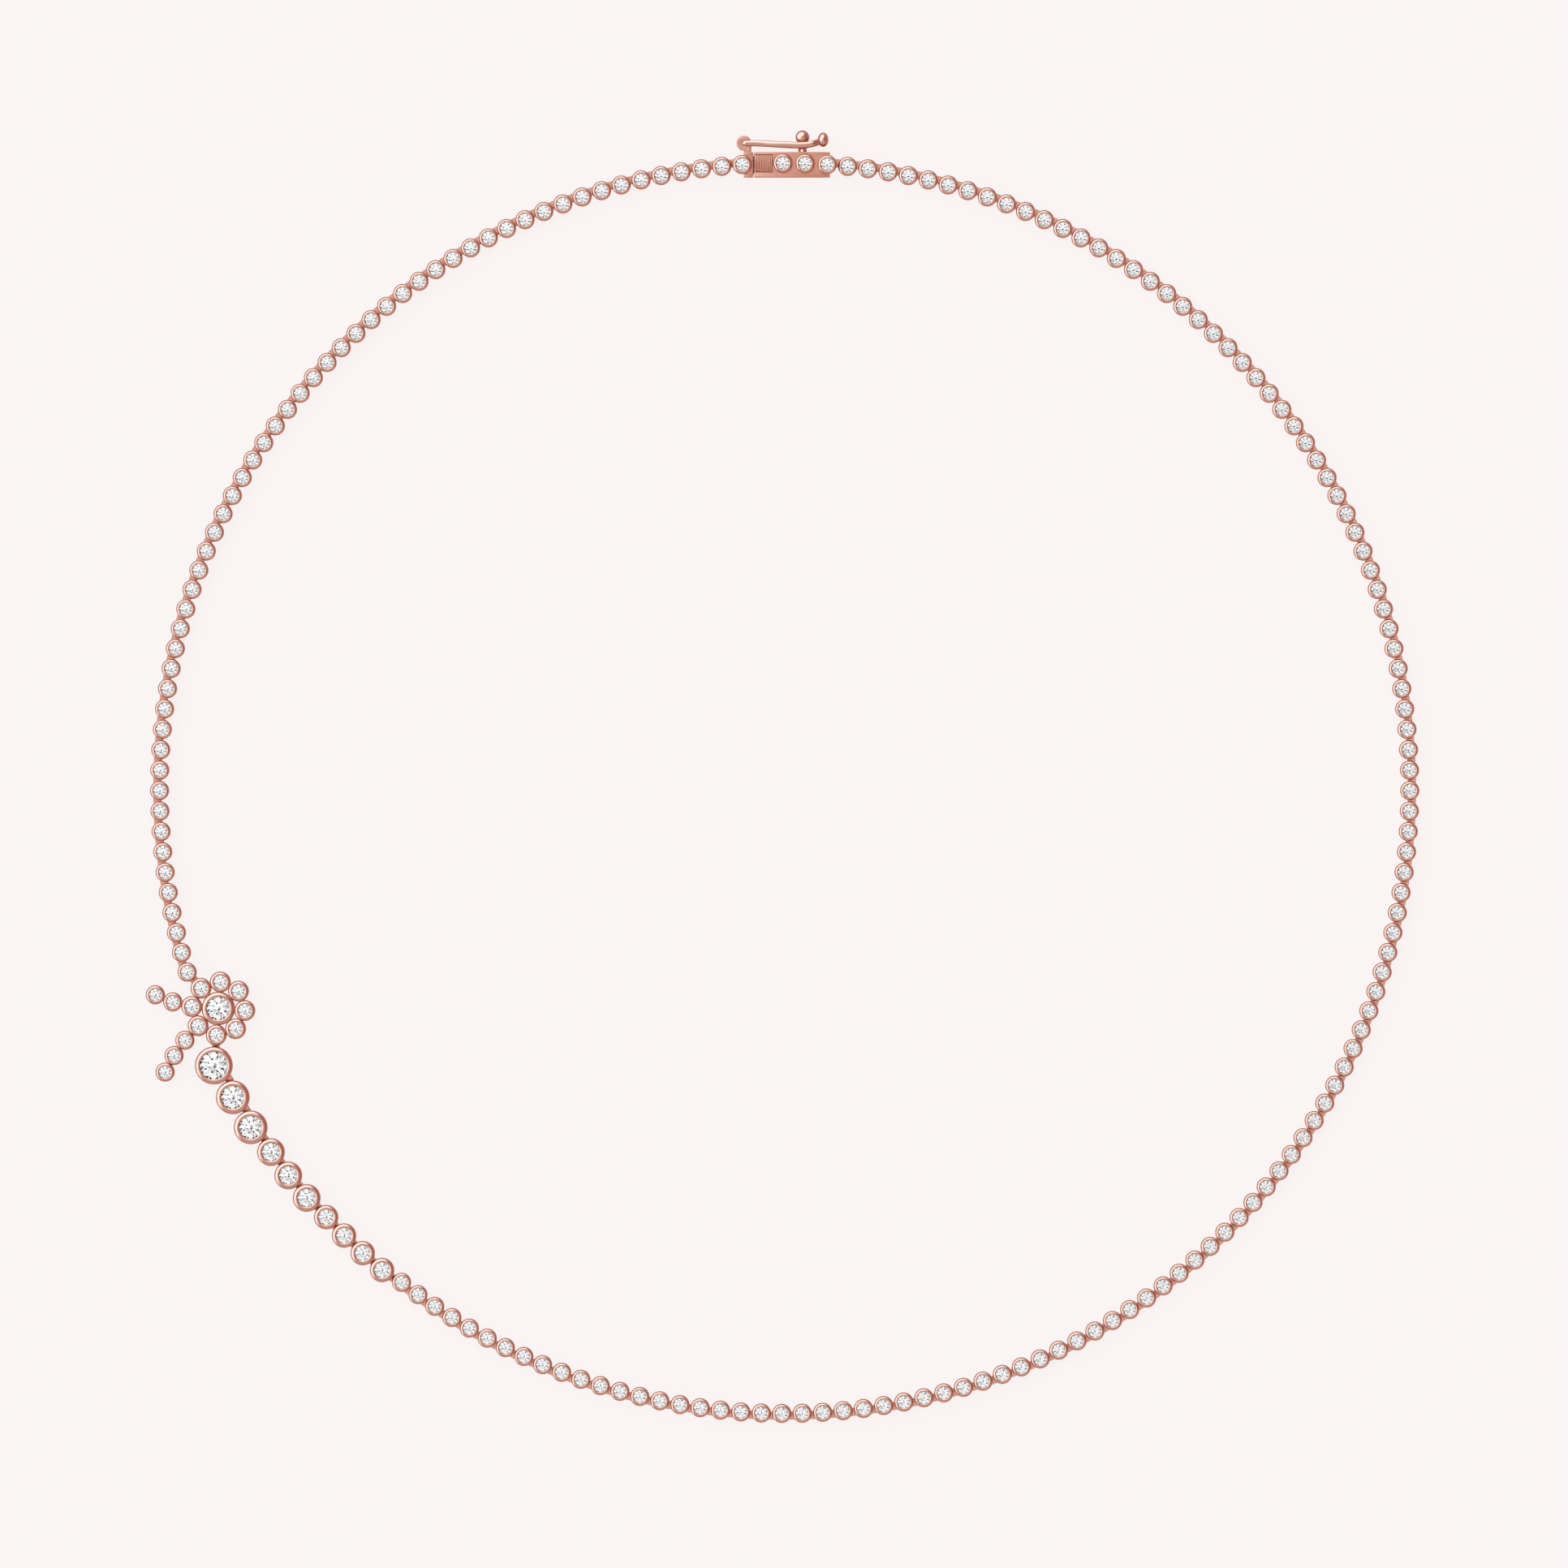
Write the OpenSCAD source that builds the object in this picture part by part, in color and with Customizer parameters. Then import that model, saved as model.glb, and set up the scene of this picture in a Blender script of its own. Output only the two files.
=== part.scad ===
/* [Loop] */
// Length of the closed loop, along the middle of the small settings
necklace_l = 406.4; // [380:0.2:440]
// Share of the small links that lies left of the clasp
left_share = 0.3254; // [0.25:0.005:0.4]
// Least gap between the rims of two links
rim_gap = 0.116; // [0.1:0.002:0.16]

/* [Small links] */
// Outer diameter of a small setting's rim
small_d = 2.0; // [1.95:0.05:2.3]
// Diameter of a small stone
small_stone_d = 1.45; // [1.2:0.05:1.5]
// Height of a small setting
small_h = 1.7; // [1.6:0.05:2.1]

/* [Graduated links] */
// Outer diameter of the largest link's rim
largest_d = 3.92; // [3.6:0.02:4.3]
// Diameter of the largest link's stone
largest_stone_d = 3.0; // [2.6:0.05:3.1]
// Height that a setting gains for each millimetre of rim radius
height_gain = 0.45; // [0.35:0.05:0.7]

/* [Settings] */
// Height of the rounded part of a rim
rim_h = 0.28; // [0.2:0.02:0.34]
// Height of the upright band under the rounded part of a rim
rim_skirt = 0.1; // [0.06:0.01:0.14]
// Height of the rim's sharp inner edge
lip_edge = 0.04; // [0.02:0.01:0.06]
// Width that is trimmed off the inside of the rim's round
lip_trim = 0.04; // [0.02:0.01:0.06]
// Gap between the crown of a small stone and its rim
crown_gap = 0.01; // [0.005:0.005:0.02]
// Width of a stone's edge that the rim covers
rim_cover = 0.07; // [0.05:0.01:0.1]
// Gap between a stone and its setting
stone_gap = 0.03; // [0.02:0.01:0.05]
// Width of the ledge that a stone rests on
ledge_w = 0.16; // [0.12:0.02:0.2]
// Wall of a setting's foot
foot_wall = 0.25; // [0.2:0.01:0.3]

/* [Link hinges] */
// Radius of a link's upright pin
pin_r = 0.15; // [0.12:0.01:0.17]
// Play between any two parts of a hinge
hinge_play = 0.11; // [0.1:0.005:0.13]
// Thickness of the eye round the pin
eye_t = 0.22; // [0.16:0.02:0.26]
// Metal round the eye's hole
eye_wall = 0.14; // [0.11:0.01:0.17]
// Thickness of each cheek of the fork
cheek_t = 0.18; // [0.14:0.02:0.22]
// Width of the fork's cheeks, seen from above
cheek_w = 0.84; // [0.6:0.02:0.9]
// Length of the fork's cheeks past the pin's middle
cheek_reach = 0.34; // [0.3:0.01:0.38]
// How far outside the loop's middle line the pins stand
pin_out = 0.25; // [0.1:0.01:0.3]
// Height of the forks above the table
fork_z = 0.06; // [0.04:0.01:0.1]

/* [Flower] */
// Outer diameter of a petal's rim
petal_d = 2.17; // [2.1:0.01:2.3]
// Diameter of a petal's stone
petal_stone_d = 1.5; // [1.3:0.05:1.6]
// Diameter of the middle stone
heart_stone_d = 2.5; // [2.2:0.05:2.6]
// Outer diameter of a spray setting's rim
spray_d = 2.0; // [1.9:0.02:2.1]
// Diameter of a spray's stone
spray_stone_d = 1.4; // [1.2:0.05:1.45]
// Height of the flower's settings
flower_h = 1.95; // [1.85:0.05:2.3]
// Overlap of two soldered rims
solder = 0.06; // [0.04:0.01:0.08]
// Radius of a drop of solder between two rims
solder_r = 0.2; // [0.14:0.01:0.24]

/* [Clasp] */
// Distance between the clasp's two outer stones
clasp_span = 8.8; // [8.6:0.1:9.6]
// Distance between the stones on the box
box_stone_pitch = 2.3; // [2.2:0.02:2.4]
// Distance from the tongue's stone to the box's mouth
mouth_back = 1.22; // [1.16:0.02:1.3]
// Width of the box
box_w = 2.6; // [2.5:0.05:3]
// Height of the box
box_h = 1.8; // [1.8:0.05:2.1]
// Height of the settings on the clasp above the box
clasp_rim_rise = 0.4; // [0.35:0.05:0.5]
// How far the box reaches past its last stone's middle
box_overhang = 0.28; // [0.2:0.02:0.4]
// Side walls of the box
box_wall = 0.3; // [0.25:0.01:0.35]
// Floor of the box
box_floor = 0.22; // [0.2:0.01:0.24]
// Height of the room for the tongue inside the box
room_h = 0.8; // [0.78:0.01:0.82]
// Length of the room for the tongue inside the box
room_l = 3.9; // [3.8:0.02:4]
// Depth of the catch over the box's mouth
catch_h = 0.16; // [0.12:0.01:0.17]
// Length of the catch, along the box
catch_l = 0.25; // [0.2:0.01:0.3]
// Length of the tongue's end block
end_l = 0.98; // [0.9:0.02:1.1]
// Thickness of the tongue and of its spring leaf
leaf_t = 0.2; // [0.16:0.01:0.2]
// Gap between the tongue and the box
tongue_gap = 0.08; // [0.06:0.01:0.1]

/* [Thumb press] */
// Gap between the ribbed press and the rim of the stone beside it
press_gap = 0.12; // [0.1:0.01:0.3]
// Width of the ribbed press
press_w = 1.72; // [1.5:0.02:1.8]
// Thickness of the ribbed press
press_t = 0.2; // [0.16:0.01:0.22]
// How far the press lies off the box's middle line
press_off = 0.12; // [0:0.01:0.14]
// How far the press goes down
press_travel = 0.18; // [0.15:0.01:0.18]
// Ribs across the press
rib_n = 7; // [5:1:8]
// Height of a rib
rib_h = 0.07; // [0.04:0.01:0.1]
// Width of the stem under the press
stem_w = 0.6; // [0.4:0.05:0.8]

/* [Safety latch] */
// Distance from the clasp's middle line to the latch's pivot
pivot_out = 2.24; // [2.2:0.02:2.6]
// Distance from the clasp's middle to the pivot, along the clasp
pivot_back = 4.22; // [4.1:0.02:4.3]
// Radius of the ear that carries the latch
ear_r = 0.77; // [0.7:0.01:0.85]
// Thickness of the ear
ear_t = 0.4; // [0.3:0.02:0.44]
// Radius of the latch's pivot wire
pivot_r = 0.25; // [0.2:0.01:0.3]
// Play between the latch and what it moves past
latch_play = 0.1; // [0.08:0.01:0.12]
// Length of the latch, from its pivot to the middle of its tip
latch_l = 8.2; // [7.8:0.05:8.4]
// Width of the latch's two strands, seen from above
strand_w = 0.62; // [0.5:0.01:0.66]
// Thickness of each strand
strand_t = 0.31; // [0.24:0.01:0.34]
// How far the latch sags towards the box
latch_sag = 0.68; // [0.5:0.02:0.7]
// How far the latch's tip stands out
latch_rise = 0.36; // [0.2:0.02:0.4]
// Half length of the tip's bead along the latch
tip_x = 0.56; // [0.5:0.01:0.6]
// Half width of the tip's bead, seen from above
tip_y = 0.75; // [0.65:0.01:0.8]
// Half height of the tip's bead
tip_z = 0.58; // [0.5:0.01:0.65]
// Radius of the post that the latch holds
post_r = 0.45; // [0.35:0.01:0.5]
// Radius of the knob on the post
knob_r = 0.72; // [0.66:0.01:0.76]
// Half height of the knob between its flats
knob_half = 0.52; // [0.48:0.01:0.54]
// Distance from the clasp's middle line to the knob's middle
knob_out = 2.85; // [2.8:0.01:3]
// How far the post stands before the middle one of the box's stones
post_shift = 0.26; // [0:0.02:0.5]
// How far the latch lies above the middle of the box's height
latch_lift = 0.15; // [0:0.01:0.2]

/* [Hidden] */
$fn = 48;
rose = [0.80, 0.57, 0.49];
pale_rose = [0.86, 0.66, 0.58];
ice = [0.90, 0.93, 0.97];
over = 1;

// A round brilliant, as shares of its diameter
table_share = 0.57;
crown_share = 0.15;
girdle_share = 0.03;
pavilion_share = 0.43;
star_share = 0.55;
lower_share = 0.24;
crown_slope = crown_share / (0.5 - table_share / 2);
pavilion_slope = pavilion_share / 0.5;
half_step = cos(22.5);

// The graduated links, smallest first: rim share, stone share, how many
RIM = 0;
STONE = 1;
COUNT = 2;
GRADES = [
    [0.648, 0.573, 4],
    [0.737, 0.663, 3],
    [0.893, 0.830, 2],
    [1.000, 1.000, 1],
];
graded = [for (g = GRADES) for (i = [1:g[COUNT]]) [g[RIM] * largest_d / 2, g[STONE] * largest_stone_d]];
graded_n = len(graded);

// Hinges
eye_hole_r = pin_r + hinge_play;
eye_r = eye_hole_r + eye_wall;
eye_z = fork_z + cheek_t + hinge_play;
upper_z = eye_z + eye_t + hinge_play;
fork_top = upper_z + cheek_t;
flare_z = fork_top + hinge_play;
foot_in = max(eye_r, cheek_reach) + hinge_play - rim_gap / 2;

// Loop
small_r = small_d / 2;
ring_r = necklace_l / (2 * PI);
box_angle = asin(clasp_span / 2 / ring_r);
clasp_y = ring_r * cos(box_angle);

// Flower: its settings, and its two joints three petals apart
petal_n = 8;
petal_r = petal_d / 2;
petal_step = 360 / petal_n;
petal_ring = (petal_d - solder) / (2 * sin(petal_step / 2));
heart_r = petal_ring - petal_r + solder;
spray_r = spray_d / 2;
joint_petal = 3;

// The sprays: the petal that each grows from, its settings, and its turn at each setting
PETAL = 0;
SETTINGS = 1;
BEND = 2;
SPRAYS = [
    [1, 2, -9],
    [2, 3, 7],
];

// How far the flower's neighbours lie from its middle, and from each other
reach_small = petal_ring + petal_r + rim_gap + small_r;
reach_largest = petal_ring + petal_r + rim_gap + largest_d / 2;
flower_chord = sqrt(pow(reach_small, 2) + pow(reach_largest, 2)
    - 2 * reach_small * reach_largest * cos(joint_petal * petal_step));

// Angles round the loop
function graded_ring(i) = ring_r - small_r + graded[i][0];
function between(r1, r2, d) = acos((r1 * r1 + r2 * r2 - d * d) / (2 * r1 * r2));
function graded_step(i) = i == 0
    ? between(ring_r, graded_ring(0), small_r + graded[0][0] + rim_gap)
    : between(graded_ring(i - 1), graded_ring(i), graded[i - 1][0] + graded[i][0] + rim_gap);
function graded_turn(i) = graded_step(i) + (i == 0 ? 0 : graded_turn(i - 1));
flower_turn = between(ring_r, graded_ring(graded_n - 1), flower_chord);
small_turn = 360 - 2 * box_angle - graded_turn(graded_n - 1) - flower_turn;
small_n = floor(small_turn / (2 * asin((small_d + rim_gap) / 2 / ring_r)));
left_n = round(small_n * left_share);
right_n = small_n - left_n;
step = small_turn / small_n;

function polar(r, a) = [r * cos(a), r * sin(a)];
function right_at(k) = polar(ring_r, 90 - box_angle - k * step);
function left_at(k) = polar(ring_r, 90 + box_angle + k * step);
function graded_at(i) = polar(graded_ring(i), 90 - box_angle - right_n * step - graded_turn(i));
function heading(a, b) = atan2(b[1] - a[1], b[0] - a[0]);

// The flower's middle, where its two neighbours' reaches cross inside the loop
last_left = left_at(left_n);
largest_at = graded_at(graded_n - 1);
across = (largest_at - last_left) / norm(largest_at - last_left);
along = (pow(reach_small, 2) - pow(reach_largest, 2) + pow(flower_chord, 2)) / (2 * flower_chord);
inward = sqrt(pow(reach_small, 2) - pow(along, 2));
flower_at = last_left + across * along + [-across[1], across[0]] * inward;
flower_heading = heading(flower_at, last_left);
function petal_at(k) = flower_at + polar(petal_ring, flower_heading + k * petal_step);
function spray_turn(s, j) = flower_heading + s[PETAL] * petal_step + (j + 1) * s[BEND];
function spray_at(s, j) = j < 0
    ? petal_at(s[PETAL])
    : spray_at(s, j - 1) + polar((j == 0 ? petal_r : spray_r) + spray_r - solder, spray_turn(s, j));
spray_spots = [for (s = SPRAYS) for (j = [0:s[SETTINGS] - 1]) spray_at(s, j)];
spray_roots = [for (s = SPRAYS) for (j = [0:s[SETTINGS] - 1]) spray_at(s, j - 1)];
spray_n = len(spray_spots);

// Clasp, along its own middle line
clasp_end = clasp_span / 2;
box_right = clasp_end + box_overhang;
box_left = mouth_back - clasp_end;
clasp_rim_h = box_h + clasp_rim_rise;
latch_z = box_h / 2 + latch_lift;
CLASP_X = [-clasp_end, clasp_end - 2 * box_stone_pitch, clasp_end - box_stone_pitch, clasp_end];
function clasp_stone_at(i) = [CLASP_X[i], sqrt(ring_r * ring_r - CLASP_X[i] * CLASP_X[i])];
end_right = box_left - tongue_gap;
tongue_w = box_w - 2 * box_wall - 2 * tongue_gap;
tongue_z = box_floor + tongue_gap;
leaf_z = box_floor + room_h - tongue_gap - leaf_t;
room_right = box_left + room_l;
fold_r = (leaf_z + leaf_t - tongue_z) / 2;
fold_x = room_right - tongue_gap - fold_r;
fold_z = tongue_z + fold_r;
leaf_left = box_left + catch_l + tongue_gap;
press_left = box_left + tongue_gap;
press_l = CLASP_X[1] - small_r - press_gap - press_left;
press_z = box_h - press_t;
pocket_z = press_z - press_travel - tongue_gap;
post_x = CLASP_X[2] - post_shift;
loop_half = knob_half + latch_play;
ear_half = ear_t / 2 + latch_play;

// The latch's side view, as shares of its length: the loop's gap grows from the first to
// the second, closes from the third to the tip, and ends at the last
loop_starts = 0.12;
loop_full = 0.55;
loop_closes = 0.86;
loop_ends = 0.97;
latch_steps = 24;

// Heights and radii of a setting with rim radius r, stone diameter d and height h
function rim_base(h) = h - rim_h;
function girdle_z(h) = rim_base(h) - lip_edge - rim_cover * crown_slope - stone_gap;
function foot_r(r) = r - foot_in;
function setting_h(r) = small_h + height_gain * (r - small_r);
function bore_r(r, d) = min(foot_r(r) - foot_wall, d / 2 - ledge_w);
function rim_arc(r, inner, h) = [for (t = [0:30:180])
    [(r + inner) / 2 + (r - inner) / 2 * cos(t), rim_base(h) + rim_h * sin(t)]];
function setting_side(r, h) = [[0, 0], [foot_r(r), 0], [foot_r(r), flare_z], [r, rim_base(h) - rim_skirt]];

// Solid body of a setting, up to its rim
module setting_body(r, d, h) {
    inner = d / 2 - rim_cover - lip_trim;
    rotate_extrude()
        polygon(concat(setting_side(r, h), rim_arc(r, inner, h), [[0, rim_base(h)]]));
}

// Room for a stone, open below through a bore of radius b, or closed where b is 0
module stone_room(d, h, b) {
    seat_r = d / 2 + stone_gap;
    lip_r = d / 2 - rim_cover;
    lip_z = rim_base(h) - lip_edge;
    belt_z = girdle_z(h) - girdle_share * d - stone_gap;
    bore_z = belt_z - (seat_r - b) * pavilion_slope;
    rotate_extrude()
        polygon(concat(
            [[0, h + over], [lip_r, h + over], [lip_r, lip_z]],
            [[seat_r, lip_z - (seat_r - lip_r) * crown_slope], [seat_r, belt_z], [b, bore_z]],
            b > 0 ? [[b, -over], [0, -over]] : []
        ));
}

// A round brilliant, with the top of its girdle at height 0
module brilliant(d) {
    r = d / 2;
    table_r = table_share * r;
    star_r = table_r * half_step + star_share * (r - table_r * half_step);
    lower_r = lower_share * r;
    top_z = crown_share * d;
    star_z = top_z * (r - star_r * half_step) / (r - table_r);
    belt_z = -girdle_share * d;
    deep = pavilion_share * d;
    points = concat(
        [for (k = [0:7]) [table_r * cos(45 * k), table_r * sin(45 * k), top_z]],
        [for (k = [0:7]) [star_r * cos(45 * k + 22.5), star_r * sin(45 * k + 22.5), star_z]],
        [for (k = [0:15]) [r * cos(22.5 * k), r * sin(22.5 * k), 0]],
        [for (k = [0:15]) [r * cos(22.5 * k), r * sin(22.5 * k), belt_z]],
        [for (k = [0:7]) [lower_r * cos(45 * k + 22.5), lower_r * sin(45 * k + 22.5),
            belt_z - deep * (1 - lower_r * half_step / r)]],
        [[0, 0, belt_z - deep]]
    );
    star = 8;
    top = 16;
    low = 32;
    lower = 48;
    culet = 56;
    polyhedron(points, concat(
        [[for (k = [7:-1:0]) k]],
        [for (k = [0:7]) [k, (k + 1) % 8, star + k]],
        [for (k = [0:7]) [k, star + k, top + 2 * k, star + (k + 7) % 8]],
        [for (k = [0:7]) [star + k, top + 2 * k + 1, top + 2 * k]],
        [for (k = [0:7]) [star + k, top + (2 * k + 2) % 16, top + 2 * k + 1]],
        [for (k = [0:15]) [top + k, top + (k + 1) % 16, low + (k + 1) % 16, low + k]],
        [for (k = [0:7]) [low + 2 * k, low + 2 * k + 1, lower + k]],
        [for (k = [0:7]) [low + 2 * k + 1, low + (2 * k + 2) % 16, lower + k]],
        [for (k = [0:7]) [culet, lower + (k + 7) % 8, low + 2 * k, lower + k]]
    ));
}

// The eye that a link reaches out to the next one, its hole at [reach, side]
module eye(reach, side) {
    translate([0, 0, eye_z])
        linear_extrude(eye_t)
            difference() {
                union() {
                    translate([0, side - eye_r]) square([reach, 2 * eye_r]);
                    translate([reach, side]) circle(eye_r);
                }
                translate([reach, side]) circle(eye_hole_r);
            }
}

// The fork and pin that hold the eye of the link before, the pin at [reach, side]
module fork(reach, side) {
    for (z = [fork_z, upper_z])
        translate([0, side - cheek_w / 2, z]) cube([reach + cheek_reach, cheek_w, cheek_t]);
    translate([reach, side, fork_z + cheek_t / 2]) cylinder(r = pin_r, h = upper_z - fork_z);
}

// How far a joint's pin lies to the side of the line from p to q
function pin_side(p, q, reach) = ring_r + pin_out - norm(p + (q - p) / norm(q - p) * reach);
function half_way(p, rp, q, rq) = rp + (norm(q - p) - rp - rq) / 2;

// Hinge parts of the setting at p: an eye towards q, or a fork towards q
module eye_towards(p, rp, q, rq, side) {
    reach = half_way(p, rp, q, rq);
    translate(p) rotate(heading(p, q)) eye(reach, side);
}
module fork_towards(p, rp, q, rq, side) {
    reach = half_way(p, rp, q, rq);
    translate(p) rotate(heading(p, q)) fork(reach, -side);
}

// A hinge on the loop's line stands outside it by the same amount everywhere
module loop_eye(p, rp, q, rq) {
    eye_towards(p, rp, q, rq, pin_side(p, q, half_way(p, rp, q, rq)));
}
module loop_fork(p, rp, q, rq) {
    fork_towards(p, rp, q, rq, pin_side(p, q, half_way(p, rp, q, rq)));
}

// The crown of a small stone, set solid in its link
module small_crown() {
    r = small_stone_d / 2 - rim_cover - crown_gap;
    table_r = table_share * small_stone_d / 2;
    low_z = girdle_z(small_h) - lip_edge;
    top_z = girdle_z(small_h) + crown_share * small_stone_d;
    ring = [for (k = [0:7]) 45 * k + 22.5];
    polyhedron(
        concat([for (a = ring) [r * cos(a), r * sin(a), low_z]],
            [for (a = ring) [r * cos(a), r * sin(a), girdle_z(small_h) + rim_cover * crown_slope]],
            [for (a = ring) [table_r * cos(a), table_r * sin(a), top_z]]),
        concat([[for (k = [0:7]) k]],
            [for (k = [0:7]) [k, k + 8, (k + 1) % 8 + 8, (k + 1) % 8]],
            [for (k = [0:7]) [k + 8, k + 16, (k + 1) % 8 + 16, (k + 1) % 8 + 8]],
            [[for (k = [7:-1:0]) k + 16]])
    );
}

// One small link with its stone, at p
module small_link(p) {
    lip_r = small_stone_d / 2 - rim_cover;
    well_z = girdle_z(small_h);
    translate(p) rotate(heading([0, 0], p)) {
        rotate_extrude()
            polygon(concat(setting_side(small_r, small_h), rim_arc(small_r, lip_r, small_h),
                [[lip_r, well_z], [0, well_z]]));
        small_crown();
    }
}

module right_chain() {
    color(rose)
        for (k = [1:right_n]) {
            p = right_at(k);
            small_link(p);
            loop_fork(p, small_r, right_at(k - 1), small_r);
            if (k < right_n)
                loop_eye(p, small_r, right_at(k + 1), small_r);
            else
                loop_eye(p, small_r, graded_at(0), graded[0][0]);
        }
}

module left_chain() {
    color(rose)
        for (k = [1:left_n]) {
            p = left_at(k);
            small_link(p);
            loop_eye(p, small_r, left_at(k - 1), small_r);
            if (k < left_n)
                loop_fork(p, small_r, left_at(k + 1), small_r);
            else
                fork_towards(p, small_r, petal_at(0), petal_r, 0);
        }
}

// One graduated link, number 1 next to the small links
module graduated_link(n) {
    i = n - 1;
    r = graded[i][0];
    d = graded[i][1];
    h = setting_h(r);
    p = graded_at(i);
    color(rose)
        difference() {
            union() {
                translate(p) setting_body(r, d, h);
                if (i == 0)
                    loop_fork(p, r, right_at(right_n), small_r);
                else
                    loop_fork(p, r, graded_at(i - 1), graded[i - 1][0]);
                if (i < graded_n - 1)
                    loop_eye(p, r, graded_at(i + 1), graded[i + 1][0]);
                else
                    eye_towards(p, r, petal_at(joint_petal), petal_r, 0);
            }
            translate(p) stone_room(d, h, bore_r(r, d));
        }
}

// A stone of diameter d in a setting of height h at p, all of them turned the same way
module set_stone(p, d, h) {
    color(ice)
        translate([p[0], p[1], girdle_z(h)]) brilliant(d);
}

module graduated_stone(n) {
    set_stone(graded_at(n - 1), graded[n - 1][1], setting_h(graded[n - 1][0]));
}

// Solder between two rims whose middles are at p and q, the first with radius rp
module solder_drop(p, rp, q) {
    spot = p + (q - p) / norm(q - p) * (rp - solder / 2);
    translate([spot[0], spot[1], rim_base(flower_h) - rim_skirt - solder_r])
        cylinder(r = solder_r, h = rim_skirt + solder_r);
}

// The flower and its two sprays, soldered into one piece
module flower_setting() {
    color(rose)
        difference() {
            union() {
                translate(flower_at) setting_body(heart_r, heart_stone_d, flower_h);
                for (k = [0:petal_n - 1]) {
                    translate(petal_at(k)) setting_body(petal_r, petal_stone_d, flower_h);
                    solder_drop(petal_at(k), petal_r, flower_at);
                    solder_drop(petal_at(k), petal_r, petal_at(k + 1));
                }
                for (j = [0:spray_n - 1]) {
                    translate(spray_spots[j]) setting_body(spray_r, spray_stone_d, flower_h);
                    solder_drop(spray_spots[j], spray_r, spray_roots[j]);
                }
                eye_towards(petal_at(0), petal_r, last_left, small_r, 0);
                fork_towards(petal_at(joint_petal), petal_r, largest_at, largest_d / 2, 0);
            }
            translate(flower_at) stone_room(heart_stone_d, flower_h, bore_r(heart_r, heart_stone_d));
            for (k = [0:petal_n - 1])
                translate(petal_at(k)) stone_room(petal_stone_d, flower_h, bore_r(petal_r, petal_stone_d));
            for (spot = spray_spots)
                translate(spot) stone_room(spray_stone_d, flower_h, bore_r(spray_r, spray_stone_d));
        }
}

module heart_stone() {
    set_stone(flower_at, heart_stone_d, flower_h);
}

module petal_stone(n) {
    set_stone(petal_at(n - 1), petal_stone_d, flower_h);
}

module spray_stone(n) {
    set_stone(spray_spots[n - 1], spray_stone_d, flower_h);
}

// A block from x1 to x2 and z1 to z2, w wide about the clasp's middle line
module clasp_block(x1, x2, w, z1, z2, off = 0) {
    translate([x1, clasp_y + off - w / 2, z1]) cube([x2 - x1, w, z2 - z1]);
}

module clasp_box() {
    mouth_z = box_floor + room_h - catch_h;
    room_left = box_left + catch_l;
    room_w = box_w - 2 * box_wall;
    press_end = press_left + press_l + tongue_gap;
    color(pale_rose)
        difference() {
            union() {
                clasp_block(box_left, box_right, box_w, 0, box_h);
                for (i = [1:3])
                    translate(clasp_stone_at(i)) setting_body(small_r, small_stone_d, clasp_rim_h);
                loop_eye(clasp_stone_at(3), small_r, right_at(1), small_r);
                translate([post_x, clasp_y + box_w / 2 - box_wall / 2, latch_z]) rotate([-90, 0, 0])
                    cylinder(r = post_r, h = knob_out - box_w / 2 + box_wall / 2);
                intersection() {
                    translate([post_x, clasp_y + knob_out, latch_z]) sphere(r = knob_r);
                    translate([post_x - knob_r, clasp_y + knob_out - knob_r, latch_z - knob_half])
                        cube([2 * knob_r, 2 * knob_r, 2 * knob_half]);
                }
            }
            clasp_block(room_left, room_right, room_w, box_floor, box_floor + room_h);
            clasp_block(box_left - over, room_left + over, room_w, box_floor, mouth_z);
            clasp_block(box_left - over, press_end, stem_w + 2 * tongue_gap,
                mouth_z - catch_h, box_h + over, press_off);
            clasp_block(box_left - over, press_end, press_w + 2 * tongue_gap,
                pocket_z, box_h + over, press_off);
            for (i = [1:3])
                translate(clasp_stone_at(i)) stone_room(small_stone_d, clasp_rim_h, 0);
        }
}

// The round fold at the tongue's end, which the spring leaf starts from
module tongue_fold() {
    intersection() {
        clasp_block(fold_x, fold_x + 2 * fold_r, tongue_w, tongue_z, tongue_z + 2 * fold_r);
        translate([fold_x, clasp_y + tongue_w / 2, fold_z]) rotate([90, 0, 0])
            difference() {
                cylinder(r = fold_r, h = tongue_w);
                translate([0, 0, -over]) cylinder(r = fold_r - leaf_t, h = tongue_w + 2 * over);
            }
    }
}

module clasp_tongue() {
    pivot_x = -pivot_back;
    color(pale_rose)
        difference() {
            union() {
                clasp_block(end_right - end_l, end_right, box_w, 0, box_h);
                clasp_block(end_right - end_l / 2, fold_x, tongue_w, tongue_z, tongue_z + leaf_t);
                tongue_fold();
                translate(clasp_stone_at(0)) setting_body(small_r, small_stone_d, clasp_rim_h);
                loop_fork(clasp_stone_at(0), small_r, left_at(1), small_r);
                translate([pivot_x, clasp_y + pivot_out, latch_z - ear_t / 2])
                    cylinder(r = ear_r, h = ear_t);
                translate([end_right - end_l, clasp_y + box_w / 2 - box_wall, latch_z - ear_t / 2])
                    cube([pivot_x + ear_r - end_right + end_l, pivot_out - box_w / 2 + box_wall, ear_t]);
            }
            translate([pivot_x, clasp_y + pivot_out, 0])
                cylinder(r = pivot_r + latch_play, h = clasp_rim_h + over);
            translate(clasp_stone_at(0)) stone_room(small_stone_d, clasp_rim_h, 0);
        }
}

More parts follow.
